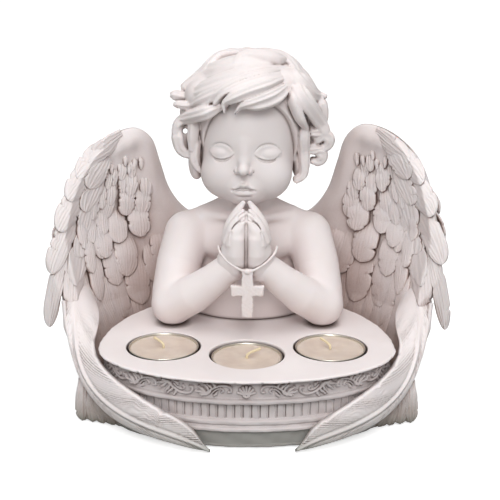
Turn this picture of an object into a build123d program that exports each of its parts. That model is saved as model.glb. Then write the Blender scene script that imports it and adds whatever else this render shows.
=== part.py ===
from build123d import *

import os
from math import cos, radians, sin

# Praying cherub figurine of cast resin, with three tealights let into the table in front of the figure.
# Frame: millimetres, +Z up, -Y is the front of the figurine, +X is the viewer's right,
# origin at the bottom centre of the bounding box. "left" and "right" are the viewer's.

os.makedirs("parts", exist_ok=True)

SIDES = {"left": -1, "right": 1}
GAP = 0.3

# Pedestal: a half ellipse in front of the tealight row and a deeper one behind it.
FELT_THICKNESS = 1.0
TABLE_Z = 40.0
ROW_Y = -29.0
TABLE_HALF_WIDTH = 80.5
TABLE_FRONT_DEPTH = 47.0
TABLE_BACK_DEPTH = 88.0
FELT_INSET = 7.0
# Each moulding: name, top height, inset from the table's outline, fillet of its outer edges.
MOULDINGS = [
    ("plinth", 10.5, 5.0, 0.0),
    ("lower_bead", 13.6, 2.6, 1.2),
    ("upper_bead", 16.8, 3.4, 1.2),
    ("fluted_band", 25.4, 5.0, 0.0),
    ("torus", 28.4, 1.8, 1.3),
    ("frieze", 37.2, 4.2, 0.0),
    ("table_slab", TABLE_Z, 0.0, 1.2),
]
FLUTE_COUNT = 61
FLUTE_RADIUS = 1.1
FLUTE_START = 188.0

# Tealights of the standard 38 mm size, in wells with 1 mm to spare all round.
TEALIGHT_RADIUS = 19.0
WELL_RADIUS = 20.2
WELL_DEPTH = 15.0
MIDDLE_WELL_EXTRA = 1.2
TEALIGHTS = {
    "left": (-45.2, ROW_Y, WELL_DEPTH, 128.0),
    "middle": (0.0, ROW_Y - 10.5, WELL_DEPTH + MIDDLE_WELL_EXTRA, 38.0),
    "right": (45.2, ROW_Y, WELL_DEPTH, 122.0),
}
CUP_HEIGHT = 15.0
CUP_WALL = 0.4
CUP_RIM = 0.8
WAX_BELOW_RIM = 1.4
WICK_RADIUS = 0.75
WICK_RISE = 2.2
WICK_BEND = 1.8
WICK_REACH = 9.0
WICK_SLOPE = 0.12
WAX_GAP = 0.1
WAX_EDGE = 0.6
CLIP_RADIUS = 6.2
CLIP_THICKNESS = 0.3
CLIP_TUBE_HEIGHT = 4.0
CLIP_TUBE_RADIUS = 1.3

# Figure: height, centre x, centre y, half width and half depth of each section of the torso.
TORSO_SECTIONS = [
    (TABLE_Z, 0.0, 39.0, 35.0, 23.0),
    (58.0, 0.0, 39.0, 37.0, 24.0),
    (74.0, 0.0, 38.0, 41.0, 25.0),
    (86.0, 0.0, 37.0, 42.0, 23.5),
    (95.0, 0.0, 35.0, 32.0, 19.0),
    (103.0, 0.0, 31.0, 18.0, 15.0),
    (116.0, 0.0, 26.0, 14.0, 14.0),
]
SHOULDER = (34.5, 26.0, 83.0)
ELBOW = (43.3, 6.0, 52.0)
WRIST = (8.4, -7.0, 77.0)
SHOULDER_RADIUS = 13.0
ELBOW_RADIUS = 12.0
WRIST_RADIUS = 7.6
# Each hand: height, centre x, centre y, half width and half depth.
HAND_SEAM = 0.15
HAND_SECTIONS = [
    (79.0, 7.4, -8.0, 7.2, 8.5),
    (89.0, 7.0, -8.5, 6.9, 11.0),
    (99.0, 5.2, -8.0, 5.1, 10.5),
    (109.0, 3.4, -6.5, 3.3, 7.5),
    (115.5, 2.2, -5.0, 2.1, 4.5),
]
HEAD_CENTRE = (0.0, 25.0, 147.0)
HEAD_RADII = (26.5, 27.0, 36.0)
NOSE_CENTRE = (0.0, 0.5, 130.5)
NOSE_RADII = (3.2, 4.2, 4.0)
# Hair: a thick cap round the skull, open over the face, with a ring of curls round the opening.
HAIR_CENTRE = (0.0, 27.5, 155.5)
HAIR_RADII = (38.5, 33.5, 39.5)
FACE_OPENING_CENTRE = (0.0, -14.0, 131.0)
FACE_OPENING_RADII = (25.0, 36.0, 42.0)
CURL_COUNT = 6
CURL_RADIUS = 8.0
CURL_START = 10.0
CURL_STEP = 25.0
CURL_RING_RADIUS = 35.5
CURL_RING_Z = 151.0
CURL_Y = 12.0

# Wings: height, centre x, centre y, half width and half depth of the outer wall's plan ellipse.
WING_CENTRE_Y = -6.0
WING_SECTIONS = [
    (FELT_THICKNESS, 0.0, WING_CENTRE_Y, 93.5, 80.0),
    (45.0, 0.0, WING_CENTRE_Y, 103.5, 84.0),
    (92.0, 0.0, WING_CENTRE_Y, 111.5, 86.0),
    (146.0, 0.0, WING_CENTRE_Y, 106.0, 85.0),
]
WING_THICKNESS = 9.0
# Outline of one wing seen from the front (x, z), from the spine over the top to the outer side.
WING_TOP = [
    (2.0, 80.0), (18.0, 84.0), (34.0, 92.0), (46.0, 108.0), (52.0, 126.0), (58.0, 139.0),
    (67.0, 144.5), (81.0, 141.0), (95.0, 130.0), (107.0, 113.0), (118.0, 88.0),
]
# Front edge of one wing seen from the side (y, z), from high to low.
WING_FRONT = [
    (12.0, 122.0), (-5.0, 101.0), (-11.0, 80.0), (-17.0, 60.0), (-25.0, 44.0), (-37.0, 30.0), (-41.0, 1.0),
]
ROOT_HALF_WIDTH = 34.0
ROOT_FRONT_Y = 52.0
ROOT_BACK_Y = 73.0
ROOT_HEIGHT = 36.0

# Front feathers: they lie against the pedestal from its sides to the middle of its front.
FEATHER_THICKNESS = 3.6
FEATHER_TOP = [(-86.0, 38.0), (-72.0, 33.0), (-50.0, 26.0), (-33.0, 15.0), (-17.5, 1.6)]
FEATHER_BOTTOM = [(-17.5, 1.6), (-40.0, 2.6), (-62.0, 5.0), (-76.0, 11.0), (-86.0, 20.0)]

# Cross pendant and the cord round the wrists.
CROSS_TOP = (0.0, -18.2, 81.0)
CROSS_HEIGHT = 27.5
CROSS_SPAN = 17.5
CROSS_BAR = 6.2
CROSS_THICKNESS = 3.8
CROSS_ARM_BELOW_TOP = 11.5
CROSS_FILLET = 0.9
CORD_RADIUS = 0.75
CORD_POINTS = [(0.0, -17.0, 80.0), (8.0, -17.4, 83.0), (15.2, -10.5, 87.5), (15.6, -2.0, 89.0)]


def pedestal_outline(inset):
    """The pedestal's plan outline, drawn inwards by inset."""
    half_width = TABLE_HALF_WIDTH - inset
    centre = (0, ROW_Y)
    EllipticalCenterArc(centre, half_width, TABLE_FRONT_DEPTH - inset, start_angle=180, arc_size=180)
    EllipticalCenterArc(centre, half_width, TABLE_BACK_DEPTH - inset, start_angle=0, arc_size=180)


def save(part, name):
    """Labels a finished piece and writes it under its node name."""
    part.label = name
    export_step(part, f"parts/{name}.step")


def mirrored(point, side):
    """A right-hand point, moved to the given side."""
    return (point[0] * side, point[1], point[2])


def limb(start, end, start_radius, end_radius):
    """A tapered round limb with rounded ends."""
    axis = Vector(*end) - Vector(*start)
    with BuildPart() as tapered:
        with BuildSketch(Plane(origin=start, z_dir=axis)):
            Circle(start_radius)
        with BuildSketch(Plane(origin=end, z_dir=axis)):
            Circle(end_radius)
        loft()
        with Locations(start):
            Sphere(start_radius)
        with Locations(end):
            Sphere(end_radius)
    return tapered.part


def ellipse_loft(sections, inset=0.0):
    """A solid through plan ellipses (height, centre x, centre y, half width, half depth), drawn inwards by inset."""
    with BuildPart() as lofted:
        for height, centre_x, centre_y, half_width, half_depth in sections:
            with BuildSketch(Plane.XY.offset(height)):
                with Locations((centre_x, centre_y)):
                    Ellipse(half_width - inset, half_depth - inset)
        loft()
    return lofted.part


def ellipsoid(centre, radii):
    """A round solid with the given half sizes."""
    return Pos(*centre) * scale(Sphere(1.0, mode=Mode.PRIVATE), by=radii, mode=Mode.PRIVATE)


# ---------------------------------------------------------------- pedestal
layers = []
base_z = FELT_THICKNESS
for _, top_z, inset, edge_fillet in MOULDINGS:
    with BuildPart() as moulding:
        with BuildSketch(Plane.XY.offset(base_z)):
            with BuildLine():
                pedestal_outline(inset)
            make_face()
        extrude(amount=top_z - base_z)
        if edge_fillet:
            rims = moulding.edges().group_by(Axis.Z)
            fillet(rims[0] + rims[-1], edge_fillet)
    layers.append(moulding.part)
    base_z = top_z

with BuildPart() as pedestal:
    add(layers)
    flute_bottom, flute_top = MOULDINGS[2][1], MOULDINGS[3][1]
    flute_inset = MOULDINGS[3][2]
    flute_feet = []
    for index in range(FLUTE_COUNT):
        angle = radians(FLUTE_START + index * (540 - 2 * FLUTE_START) / (FLUTE_COUNT - 1))
        flute_x = (TABLE_HALF_WIDTH - flute_inset) * cos(angle)
        flute_y = ROW_Y + (TABLE_FRONT_DEPTH - flute_inset) * sin(angle)
        flute_feet.append((flute_x, flute_y, (flute_bottom + flute_top) / 2))
    with Locations(*flute_feet):
        Cylinder(FLUTE_RADIUS, flute_top - flute_bottom, mode=Mode.SUBTRACT)
    for well_x, well_y, depth, _ in TEALIGHTS.values():
        with Locations((well_x, well_y, TABLE_Z)):
            Hole(WELL_RADIUS, depth)
save(pedestal.part, "pedestal")

with BuildPart() as felt:
    with BuildSketch():
        with BuildLine():
            pedestal_outline(FELT_INSET)
        make_face()
    extrude(amount=FELT_THICKNESS)
save(felt.part, "felt_base_pad")

with BuildPart() as pedestal_envelope:
    with BuildSketch(Plane.XY):
        with BuildLine():
            pedestal_outline(-GAP)
        make_face()
    extrude(amount=TABLE_Z)

# ---------------------------------------------------------------- wings
wing_outside = ellipse_loft(WING_SECTIONS)
wing_inside = ellipse_loft(WING_SECTIONS, WING_THICKNESS)

wings = {}
for side_name, side in SIDES.items():
    with BuildPart() as wing:
        add(wing_outside)
        add(wing_inside, mode=Mode.SUBTRACT)
        with Locations((side * (1 + ROOT_HALF_WIDTH) / 2, ROOT_FRONT_Y, TABLE_Z)):
            Box(
                ROOT_HALF_WIDTH - 1,
                ROOT_BACK_Y - ROOT_FRONT_Y,
                ROOT_HEIGHT,
                align=(Align.CENTER, Align.MIN, Align.MIN),
            )
        with BuildSketch(Plane.XZ):
            with BuildLine():
                Spline(*[(side * x, z) for x, z in WING_TOP])
                Polyline(
                    (side * WING_TOP[-1][0], WING_TOP[-1][1]),
                    (side * WING_TOP[-1][0], FELT_THICKNESS),
                    (side * WING_TOP[0][0], FELT_THICKNESS),
                    (side * WING_TOP[0][0], WING_TOP[0][1]),
                )
            make_face()
        extrude(amount=100, both=True, mode=Mode.INTERSECT)
        with BuildSketch(Plane.YZ):
            with BuildLine():
                Spline(*WING_FRONT)
                Polyline(
                    WING_FRONT[-1], (100, FELT_THICKNESS), (100, 150), (30, 150), WING_FRONT[0]
                )
            make_face()
        extrude(amount=130, both=True, mode=Mode.INTERSECT)
        add(pedestal_envelope.part, mode=Mode.SUBTRACT)
    wings[side_name] = wing.part
    save(wing.part, f"{side_name}_wing")

for side_name, side in SIDES.items():
    with BuildPart() as feather:
        with BuildSketch():
            with BuildLine():
                pedestal_outline(-GAP - FEATHER_THICKNESS)
            make_face()
            with BuildLine():
                pedestal_outline(-GAP)
            make_face(mode=Mode.SUBTRACT)
        extrude(amount=TABLE_Z)
        with BuildSketch(Plane.XZ):
            with BuildLine():
                Spline(*[(-side * x, z) for x, z in FEATHER_TOP])
                Spline(*[(-side * x, z) for x, z in FEATHER_BOTTOM])
                Line(
                    (-side * FEATHER_BOTTOM[-1][0], FEATHER_BOTTOM[-1][1]),
                    (-side * FEATHER_TOP[0][0], FEATHER_TOP[0][1]),
                )
            make_face()
        extrude(amount=100, mode=Mode.INTERSECT)
        add(wings[side_name], mode=Mode.SUBTRACT)
    save(feather.part, f"{side_name}_front_feather")

# ---------------------------------------------------------------- figure
with BuildPart() as torso:
    add(ellipse_loft(TORSO_SECTIONS))
    for wing_part in wings.values():
        add(wing_part, mode=Mode.SUBTRACT)

with BuildPart() as head:
    add(ellipsoid(HEAD_CENTRE, HEAD_RADII))
    add(ellipsoid(NOSE_CENTRE, NOSE_RADII))
    add(torso.part, mode=Mode.SUBTRACT)
save(torso.part, "torso")
save(head.part, "head")

# The hair is a thick cap round the skull, open over the face, with a row of curls round its edge.
with BuildPart() as hair:
    add(ellipsoid(HAIR_CENTRE, HAIR_RADII))
    for index in range(CURL_COUNT):
        for side in SIDES.values():
            turn = radians(CURL_START + index * CURL_STEP)
            reach = CURL_RING_RADIUS
            with Locations((side * reach * sin(turn), CURL_Y, CURL_RING_Z + reach * cos(turn))):
                Sphere(CURL_RADIUS)
    add(ellipsoid(FACE_OPENING_CENTRE, FACE_OPENING_RADII), mode=Mode.SUBTRACT)
    add(ellipsoid(HEAD_CENTRE, HEAD_RADII), mode=Mode.SUBTRACT)
    add(torso.part, mode=Mode.SUBTRACT)
save(hair.part, "hair")

hands = {}
for side_name, side in SIDES.items():
    with BuildPart() as hand:
        add(ellipse_loft([(z, side * x, y, rx, ry) for z, x, y, rx, ry in HAND_SECTIONS]))
        with Locations((side * (HAND_SEAM + 20), 0, 100)):
            Box(40, 80, 80, mode=Mode.INTERSECT)
    hands[side_name] = hand.part
    save(hand.part, f"{side_name}_hand")

arms = {}
for side_name, side in SIDES.items():
    shoulder, elbow, wrist = (mirrored(point, side) for point in (SHOULDER, ELBOW, WRIST))
    with BuildPart() as arm:
        add(limb(shoulder, elbow, SHOULDER_RADIUS, ELBOW_RADIUS))
        add(limb(elbow, wrist, ELBOW_RADIUS, WRIST_RADIUS))
        with Locations((side * (HAND_SEAM + 40), 0, TABLE_Z)):
            Box(80, 120, 80, align=(Align.CENTER, Align.CENTER, Align.MIN), mode=Mode.INTERSECT)
        add(torso.part, mode=Mode.SUBTRACT)
        add(wings[side_name], mode=Mode.SUBTRACT)
        add(hands[side_name], mode=Mode.SUBTRACT)
    arms[side_name] = arm.part
    save(arm.part, f"{side_name}_arm")

# ---------------------------------------------------------------- cross and cord
cross_x, cross_y, cross_top = CROSS_TOP
with BuildPart() as cross:
    with BuildSketch(Plane.XZ.offset(-cross_y - CROSS_THICKNESS / 2)):
        with Locations((cross_x, cross_top - CROSS_HEIGHT / 2)):
            Rectangle(CROSS_BAR, CROSS_HEIGHT)
        with Locations((cross_x, cross_top - CROSS_ARM_BELOW_TOP)):
            Rectangle(CROSS_SPAN, CROSS_BAR - 1)
    extrude(amount=CROSS_THICKNESS)
    fillet(cross.edges(), CROSS_FILLET)
    for hand_part in hands.values():
        add(hand_part, mode=Mode.SUBTRACT)
    for arm_part in arms.values():
        add(arm_part, mode=Mode.SUBTRACT)
save(cross.part, "cross_pendant")

with BuildPart() as cord:
    for side in SIDES.values():
        with BuildLine() as cord_path:
            Spline(*[mirrored(point, side) for point in CORD_POINTS])
        with BuildSketch(Plane(origin=cord_path.line @ 0, z_dir=cord_path.line % 0)):
            Circle(CORD_RADIUS)
        sweep()
    for piece in [*hands.values(), *arms.values(), cross.part]:
        add(piece, mode=Mode.SUBTRACT)
save(cord.part, "wrist_cord")

# ---------------------------------------------------------------- tealights
for light_name, (light_x, light_y, well_depth, wick_turn) in TEALIGHTS.items():
    floor_z = TABLE_Z - well_depth
    wax_bottom = floor_z + CUP_WALL
    wax_top = floor_z + CUP_HEIGHT - WAX_BELOW_RIM
    inner_radius = TEALIGHT_RADIUS - CUP_RIM

    with BuildPart() as cup:
        with BuildSketch(Plane.XY.offset(floor_z)):
            with Locations((light_x, light_y)):
                Circle(inner_radius + CUP_WALL)
        extrude(amount=CUP_HEIGHT)
        with BuildSketch(Plane.XY.offset(floor_z + CUP_HEIGHT - CUP_RIM)):
            with Locations((light_x, light_y)):
                Circle(TEALIGHT_RADIUS)
        extrude(amount=CUP_RIM)
        with BuildSketch(Plane.XY.offset(wax_bottom)):
            with Locations((light_x, light_y)):
                Circle(inner_radius)
        extrude(amount=CUP_HEIGHT, mode=Mode.SUBTRACT)
    save(cup.part, f"tealight_cup_{light_name}")

    with BuildPart() as clip:
        with BuildSketch(Plane.XY.offset(wax_bottom)):
            with Locations((light_x, light_y)):
                Circle(CLIP_RADIUS)
        extrude(amount=CLIP_THICKNESS)
        with BuildSketch(Plane.XY.offset(wax_bottom + CLIP_THICKNESS)):
            with Locations((light_x, light_y)):
                Circle(CLIP_TUBE_RADIUS)
                Circle(WICK_RADIUS, mode=Mode.SUBTRACT)
        extrude(amount=CLIP_TUBE_HEIGHT)
    save(clip.part, f"wick_clip_{light_name}")

    wick_foot = Vector(light_x, light_y, wax_bottom + CLIP_THICKNESS)
    wick_knee = Vector(light_x, light_y, wax_top + WICK_RISE)
    lean = Vector(cos(radians(wick_turn)), sin(radians(wick_turn)), WICK_SLOPE)
    with BuildPart() as wick:
        with BuildLine() as wick_path:
            FilletPolyline(wick_foot, wick_knee, wick_knee + lean * WICK_REACH, radius=WICK_BEND)
        with BuildSketch(Plane(origin=wick_foot, z_dir=(0, 0, 1))):
            Circle(WICK_RADIUS)
        sweep()
    save(wick.part, f"wick_{light_name}")

    with BuildPart() as wax:
        with BuildSketch(Plane.XY.offset(wax_bottom)):
            with Locations((light_x, light_y)):
                Circle(inner_radius - WAX_GAP)
        extrude(amount=wax_top - wax_bottom)
        fillet(wax.edges().group_by(Axis.Z)[-1], WAX_EDGE)
        add(clip.part, mode=Mode.SUBTRACT)
        add(wick.part, mode=Mode.SUBTRACT)
    save(wax.part, f"wax_{light_name}")
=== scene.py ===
from math import atan2, cos, degrees, hypot, pi, radians, sin

import bpy
import numpy as np
from mathutils import Euler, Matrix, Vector


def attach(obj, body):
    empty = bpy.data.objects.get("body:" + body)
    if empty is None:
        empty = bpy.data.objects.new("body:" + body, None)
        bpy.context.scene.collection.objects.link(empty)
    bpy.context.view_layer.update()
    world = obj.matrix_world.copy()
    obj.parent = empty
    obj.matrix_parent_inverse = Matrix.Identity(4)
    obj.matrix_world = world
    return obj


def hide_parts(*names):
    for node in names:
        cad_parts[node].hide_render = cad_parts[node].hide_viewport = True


# Praying cherub figurine with three tealights. Sizes are in millimetres in the row frame and turned into
# metres when a mesh is made. "left" and "right" are the viewer's.
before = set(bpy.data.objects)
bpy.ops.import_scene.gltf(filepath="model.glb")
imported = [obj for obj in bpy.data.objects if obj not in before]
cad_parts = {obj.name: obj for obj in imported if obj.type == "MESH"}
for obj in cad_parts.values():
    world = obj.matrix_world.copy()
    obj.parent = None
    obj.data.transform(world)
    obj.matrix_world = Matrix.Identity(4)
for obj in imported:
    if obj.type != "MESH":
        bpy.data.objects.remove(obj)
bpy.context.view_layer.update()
MM = 0.001
SIDES = {"left": -1, "right": 1}


# ---------------------------------------------------------------- meshes
def make_object(name, verts, faces, material):
    """A smooth-shaded mesh object from vertices in mm and an array, or a list of arrays, of faces."""
    faces = faces if isinstance(faces, list) else [faces]
    faces = [np.asarray(block, np.int32) for block in faces if len(block)]
    corners = np.concatenate([block.ravel() for block in faces])
    counts = np.concatenate([np.full(len(block), block.shape[1]) for block in faces])
    mesh = bpy.data.meshes.new(name)
    mesh.vertices.add(len(verts))
    mesh.vertices.foreach_set("co", (np.asarray(verts) * MM).astype(np.float32).ravel())
    mesh.loops.add(len(corners))
    mesh.loops.foreach_set("vertex_index", corners)
    mesh.polygons.add(len(counts))
    mesh.polygons.foreach_set("loop_start", np.concatenate([[0], np.cumsum(counts)[:-1]]).astype(np.int32))
    mesh.update(calc_edges=True)
    mesh.validate()
    mesh.polygons.foreach_set("use_smooth", np.ones(len(mesh.polygons), bool))
    mesh.materials.append(material)
    obj = bpy.data.objects.new(name, mesh)
    bpy.context.scene.collection.objects.link(obj)
    return obj


def piece(obj, body, slot, *nodes):
    """Lets a piece ride with a body in place of the CAD nodes it stands for."""
    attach(obj, body)
    if nodes:
        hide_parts(*nodes)
    return obj


def grid_faces(rows, columns, wrap=False, start=0):
    """Quads of a grid of vertices in row order; wrap joins the last column to the first."""
    last = columns if wrap else columns - 1
    r, c = np.meshgrid(np.arange(rows - 1), np.arange(last), indexing="ij")
    nxt = (c + 1) % columns
    quads = np.stack([r * columns + c, r * columns + nxt, (r + 1) * columns + nxt, (r + 1) * columns + c], -1)
    return quads.reshape(-1, 4) + start


def closed_rings(rows, columns):
    """Faces of a stack of closed rings of vertices, with a face over each end."""
    ring = np.arange(columns)
    return [grid_faces(rows, columns, wrap=True), ring[::-1][None, :], (ring + (rows - 1) * columns)[None, :]]


def spline(points, count):
    """Evenly parametrised Catmull-Rom curve through points of any dimension."""
    p = np.asarray(points, float)
    p = np.vstack([2 * p[0] - p[1], p, 2 * p[-1] - p[-2]])
    t = np.linspace(0, len(p) - 3 - 1e-9, count)
    i = t.astype(int)
    u = (t - i)[:, None]
    a, b, c, d = p[i], p[i + 1], p[i + 2], p[i + 3]
    return 0.5 * (2 * b + (c - a) * u + (2 * a - 5 * b + 4 * c - d) * u**2 + (3 * b - a - 3 * c + d) * u**3)


def unit(v):
    """Vectors scaled to length one along the last axis."""
    v = np.asarray(v, float)
    return v / np.maximum(np.linalg.norm(v, axis=-1, keepdims=True), 1e-9)


def ramp(x, low, high):
    """Smooth step from 0 at low to 1 at high."""
    t = np.clip((x - low) / (high - low), 0, 1)
    return t * t * (3 - 2 * t)


# ---------------------------------------------------------------- modelling in clay
# The distance, in mm, that stands for being well outside the clay.
FAR = 6.0


class Clay:
    """A block of clay on a grid: shapes are added to it and cut from it with soft joins."""

    def __init__(self, low, high, step):
        self.step = step
        self.axes = [np.arange(a, b + step, step) for a, b in zip(low, high)]
        self.field = np.full([len(axis) for axis in self.axes], FAR, np.float32)

    def patch(self, low, high, margin):
        """The part of the grid inside a box, as slices and points."""
        cuts = tuple(
            slice(int(np.searchsorted(axis, a - margin)), int(np.searchsorted(axis, b + margin)))
            for axis, a, b in zip(self.axes, low, high)
        )
        x, y, z = np.meshgrid(*[axis[cut] for axis, cut in zip(self.axes, cuts)], indexing="ij")
        return cuts, np.stack([x, y, z], -1).astype(np.float32)

    def add(self, shape, blend=1.0):
        low, high, distance = shape
        cuts, points = self.patch(low, high, blend + 1.5)
        if points.size:
            old, new = self.field[cuts], distance(points)
            self.field[cuts] = np.minimum(old, new) - np.maximum(blend - abs(old - new), 0) ** 2 / (4 * blend)

    def cut(self, shape, blend=1.0):
        low, high, distance = shape
        cuts, points = self.patch(low, high, blend + 1.5)
        if points.size:
            old, new = self.field[cuts], -distance(points)
            self.field[cuts] = np.maximum(old, new) + np.maximum(blend - abs(old - new), 0) ** 2 / (4 * blend)

    def front(self, x, z):
        """The y of the first surface met from the front at (x, z)."""
        i = int(np.clip(round((x - self.axes[0][0]) / self.step), 0, len(self.axes[0]) - 1))
        k = int(np.clip(round((z - self.axes[2][0]) / self.step), 0, len(self.axes[2]) - 1))
        line = self.field[i, :, k]
        j = int(np.argmax(line < 0))
        if j == 0:
            return float(self.axes[1][0])
        return float(self.axes[1][j] - self.step * line[j] / (line[j] - line[j - 1]))

    def on_front(self, points, sink=0.0):
        """Points (x, z) laid on the front surface, sunk into it."""
        return [(x, self.front(x, z) + sink, z) for x, z in points]

    def mesh(self):
        """Vertices and quads of the surface (naive surface nets)."""
        inside = self.field < 0
        count = np.zeros([n - 1 for n in inside.shape], np.int8)
        offsets = [(a, b, c) for a in (0, 1) for b in (0, 1) for c in (0, 1)]
        for a, b, c in offsets:
            count += inside[a:a + count.shape[0], b:b + count.shape[1], c:c + count.shape[2]]
        cells = np.argwhere((count > 0) & (count < 8))
        number = np.full(count.shape, -1, np.int32)
        number[tuple(cells.T)] = np.arange(len(cells))
        corner = {o: self.field[tuple((cells + o).T)] for o in offsets}
        total = np.zeros((len(cells), 3))
        hits = np.zeros(len(cells))
        for o in offsets:
            for axis in range(3):
                if o[axis]:
                    continue
                end = tuple(v + (n == axis) for n, v in enumerate(o))
                a, b = corner[o], corner[end]
                crossed = (a < 0) != (b < 0)
                t = np.where(crossed, a / np.where(crossed, a - b, 1), 0)
                spot = np.tile(np.array(o, float), (len(cells), 1))
                spot[:, axis] += t
                total += spot * crossed[:, None]
                hits += crossed
        origin = np.array([axis[0] for axis in self.axes])
        verts = (cells + total / hits[:, None]) * self.step + origin
        quads = []
        for axis in range(3):
            a = np.moveaxis(inside, axis, 0)
            edges = np.argwhere(a[:-1] != a[1:])
            low_inside = a[:-1][tuple(edges.T)]
            keep = np.all((edges[:, 1:] > 0) & (edges[:, 1:] < np.array(a.shape[1:]) - 1), axis=1)
            edges, low_inside = edges[keep], low_inside[keep]
            num = np.moveaxis(number, axis, 0)
            e, j, k = edges.T
            ring = np.stack([num[e, j, k], num[e, j - 1, k], num[e, j - 1, k - 1], num[e, j, k - 1]], 1)
            if axis == 1:
                low_inside = ~low_inside
            ring[~low_inside] = ring[~low_inside][:, ::-1]
            quads.append(ring)
        return verts, np.concatenate(quads)


def ellipsoid(centre, radii, turn=(0, 0, 0)):
    """An ellipsoid, turned by Euler angles in degrees."""
    centre, radii = np.array(centre, np.float32), np.array(radii, np.float32)
    axes = np.array(Euler([radians(a) for a in turn]).to_matrix(), np.float32)

    def distance(p):
        local = (p - centre) @ axes
        k0 = np.linalg.norm(local / radii, axis=-1)
        k1 = np.linalg.norm(local / radii**2, axis=-1)
        return k0 * (k0 - 1) / np.maximum(k1, 1e-6)

    return centre - radii.max(), centre + radii.max(), distance


def tube(path, radii):
    """A round tube along a path, with a radius at every point of it."""
    path = np.asarray(path, np.float32)
    radii = np.asarray(np.broadcast_to(radii, len(path)), np.float32)

    def distance(p):
        best = np.full(p.shape[:-1], 1e9, np.float32)
        for a, b, ra, rb in zip(path[:-1], path[1:], radii[:-1], radii[1:]):
            along = b - a
            t = np.clip(((p - a) @ along) / max(float(along @ along), 1e-9), 0, 1)
            gap = np.linalg.norm(p - a - t[..., None] * along, axis=-1) - (ra + t * (rb - ra))
            best = np.minimum(best, gap)
        return best

    reach = radii.max()
    return path.min(0) - reach, path.max(0) + reach, distance


def ribbon(path, widths, heights, normals, grooves=0, depth=0.0, shift=0.0):
    """A flattened tapering band along a path, its flat side along the normals, grooved down its length."""
    path, normals = np.asarray(path, np.float32), unit(normals).astype(np.float32)
    widths, heights = np.asarray(widths, np.float32), np.asarray(heights, np.float32)
    tangents = unit(np.gradient(path, axis=0)).astype(np.float32)
    across = unit(np.cross(tangents, normals)).astype(np.float32)
    up = np.cross(across, tangents).astype(np.float32)

    def distance(p):
        best = np.full(p.shape[:-1], 1e9, np.float32)
        place = np.zeros(p.shape[:-1], np.float32)
        for n, (a, b) in enumerate(zip(path[:-1], path[1:])):
            along = b - a
            t = np.clip(((p - a) @ along) / max(float(along @ along), 1e-9), 0, 1)
            gap = np.linalg.norm(p - a - t[..., None] * along, axis=-1)
            nearer = gap < best
            best = np.where(nearer, gap, best)
            place = np.where(nearer, n + t, place)
        low = np.minimum(place.astype(int), len(path) - 2)
        f = (place - low)[..., None]
        mix = lambda values: values[low] * (1 - f) + values[low + 1] * f
        q = p - mix(path)
        w, h = mix(widths[:, None])[..., 0], mix(heights[:, None])[..., 0]
        u = np.sum(q * mix(across), -1)
        v = np.sum(q * mix(up), -1)
        s = np.sum(q * mix(tangents), -1)
        thin = np.minimum(w, h)
        k0 = np.sqrt((u / w) ** 2 + (v / h) ** 2 + (s / thin) ** 2)
        k1 = np.sqrt((u / w**2) ** 2 + (v / h**2) ** 2 + (s / thin**2) ** 2)
        gap = k0 * (k0 - 1) / np.maximum(k1, 1e-6)
        if grooves:
            gap += (depth * np.minimum(h / heights.max(), 1)
                    * (0.5 + 0.5 * np.cos(pi * grooves * (u / w + shift))))
        return gap

    reach = widths.max()
    return path.min(0) - reach, path.max(0) + reach, distance


# ---------------------------------------------------------------- materials
def new_material(name):
    material = bpy.data.materials.new(name)
    material.use_nodes = True
    nodes, links = material.node_tree.nodes, material.node_tree.links
    return material, nodes, links, nodes["Principled BSDF"]


def set_inputs(node, values):
    """Sets a node's constant inputs by name."""
    for name, value in values.items():
        node.inputs[name].default_value = value


def color_ramp(nodes, source, links, *stops):
    """The colour of a ramp through stops of (position, red, green, blue), driven by a socket."""
    node = nodes.new("ShaderNodeValToRGB")
    for _ in stops[2:]:
        node.color_ramp.elements.new(0.5)
    for stop, (position, *color) in zip(node.color_ramp.elements, stops):
        stop.position = position
        stop.color = (*color, 1)
    links.new(source, node.inputs["Fac"])
    return node.outputs["Color"]


def noise(nodes, links, place, scale, detail):
    """The value of a noise texture on the object's own coordinates."""
    node = nodes.new("ShaderNodeTexNoise")
    set_inputs(node, {"Scale": scale, "Detail": detail})
    links.new(place.outputs["Object"], node.inputs["Vector"])
    return node.outputs["Fac"]


def openness(nodes, distance, samples):
    """How open a point is, from 0 where it is shut in to 1."""
    node = nodes.new("ShaderNodeAmbientOcclusion")
    node.inputs["Distance"].default_value = distance
    node.samples = samples
    return node.outputs["AO"]


def multiply(nodes, links, first, second, factor):
    """One colour multiplied by another."""
    node = nodes.new("ShaderNodeMix")
    node.data_type = "RGBA"
    node.blend_type = "MULTIPLY"
    node.inputs["Factor"].default_value = factor
    links.new(first, node.inputs["A"])
    links.new(second, node.inputs["B"])
    return node.outputs["Result"]


def add_bump(nodes, links, shader, height, strength, distance):
    node = nodes.new("ShaderNodeBump")
    set_inputs(node, {"Strength": strength, "Distance": distance})
    links.new(height, node.inputs["Height"])
    links.new(node.outputs["Normal"], shader.inputs["Normal"])


# The resin's painted shade by height runs over this many mm.
SHADE_HEIGHT_SPAN = 100
WHITE = (1, 1, 1)


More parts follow.
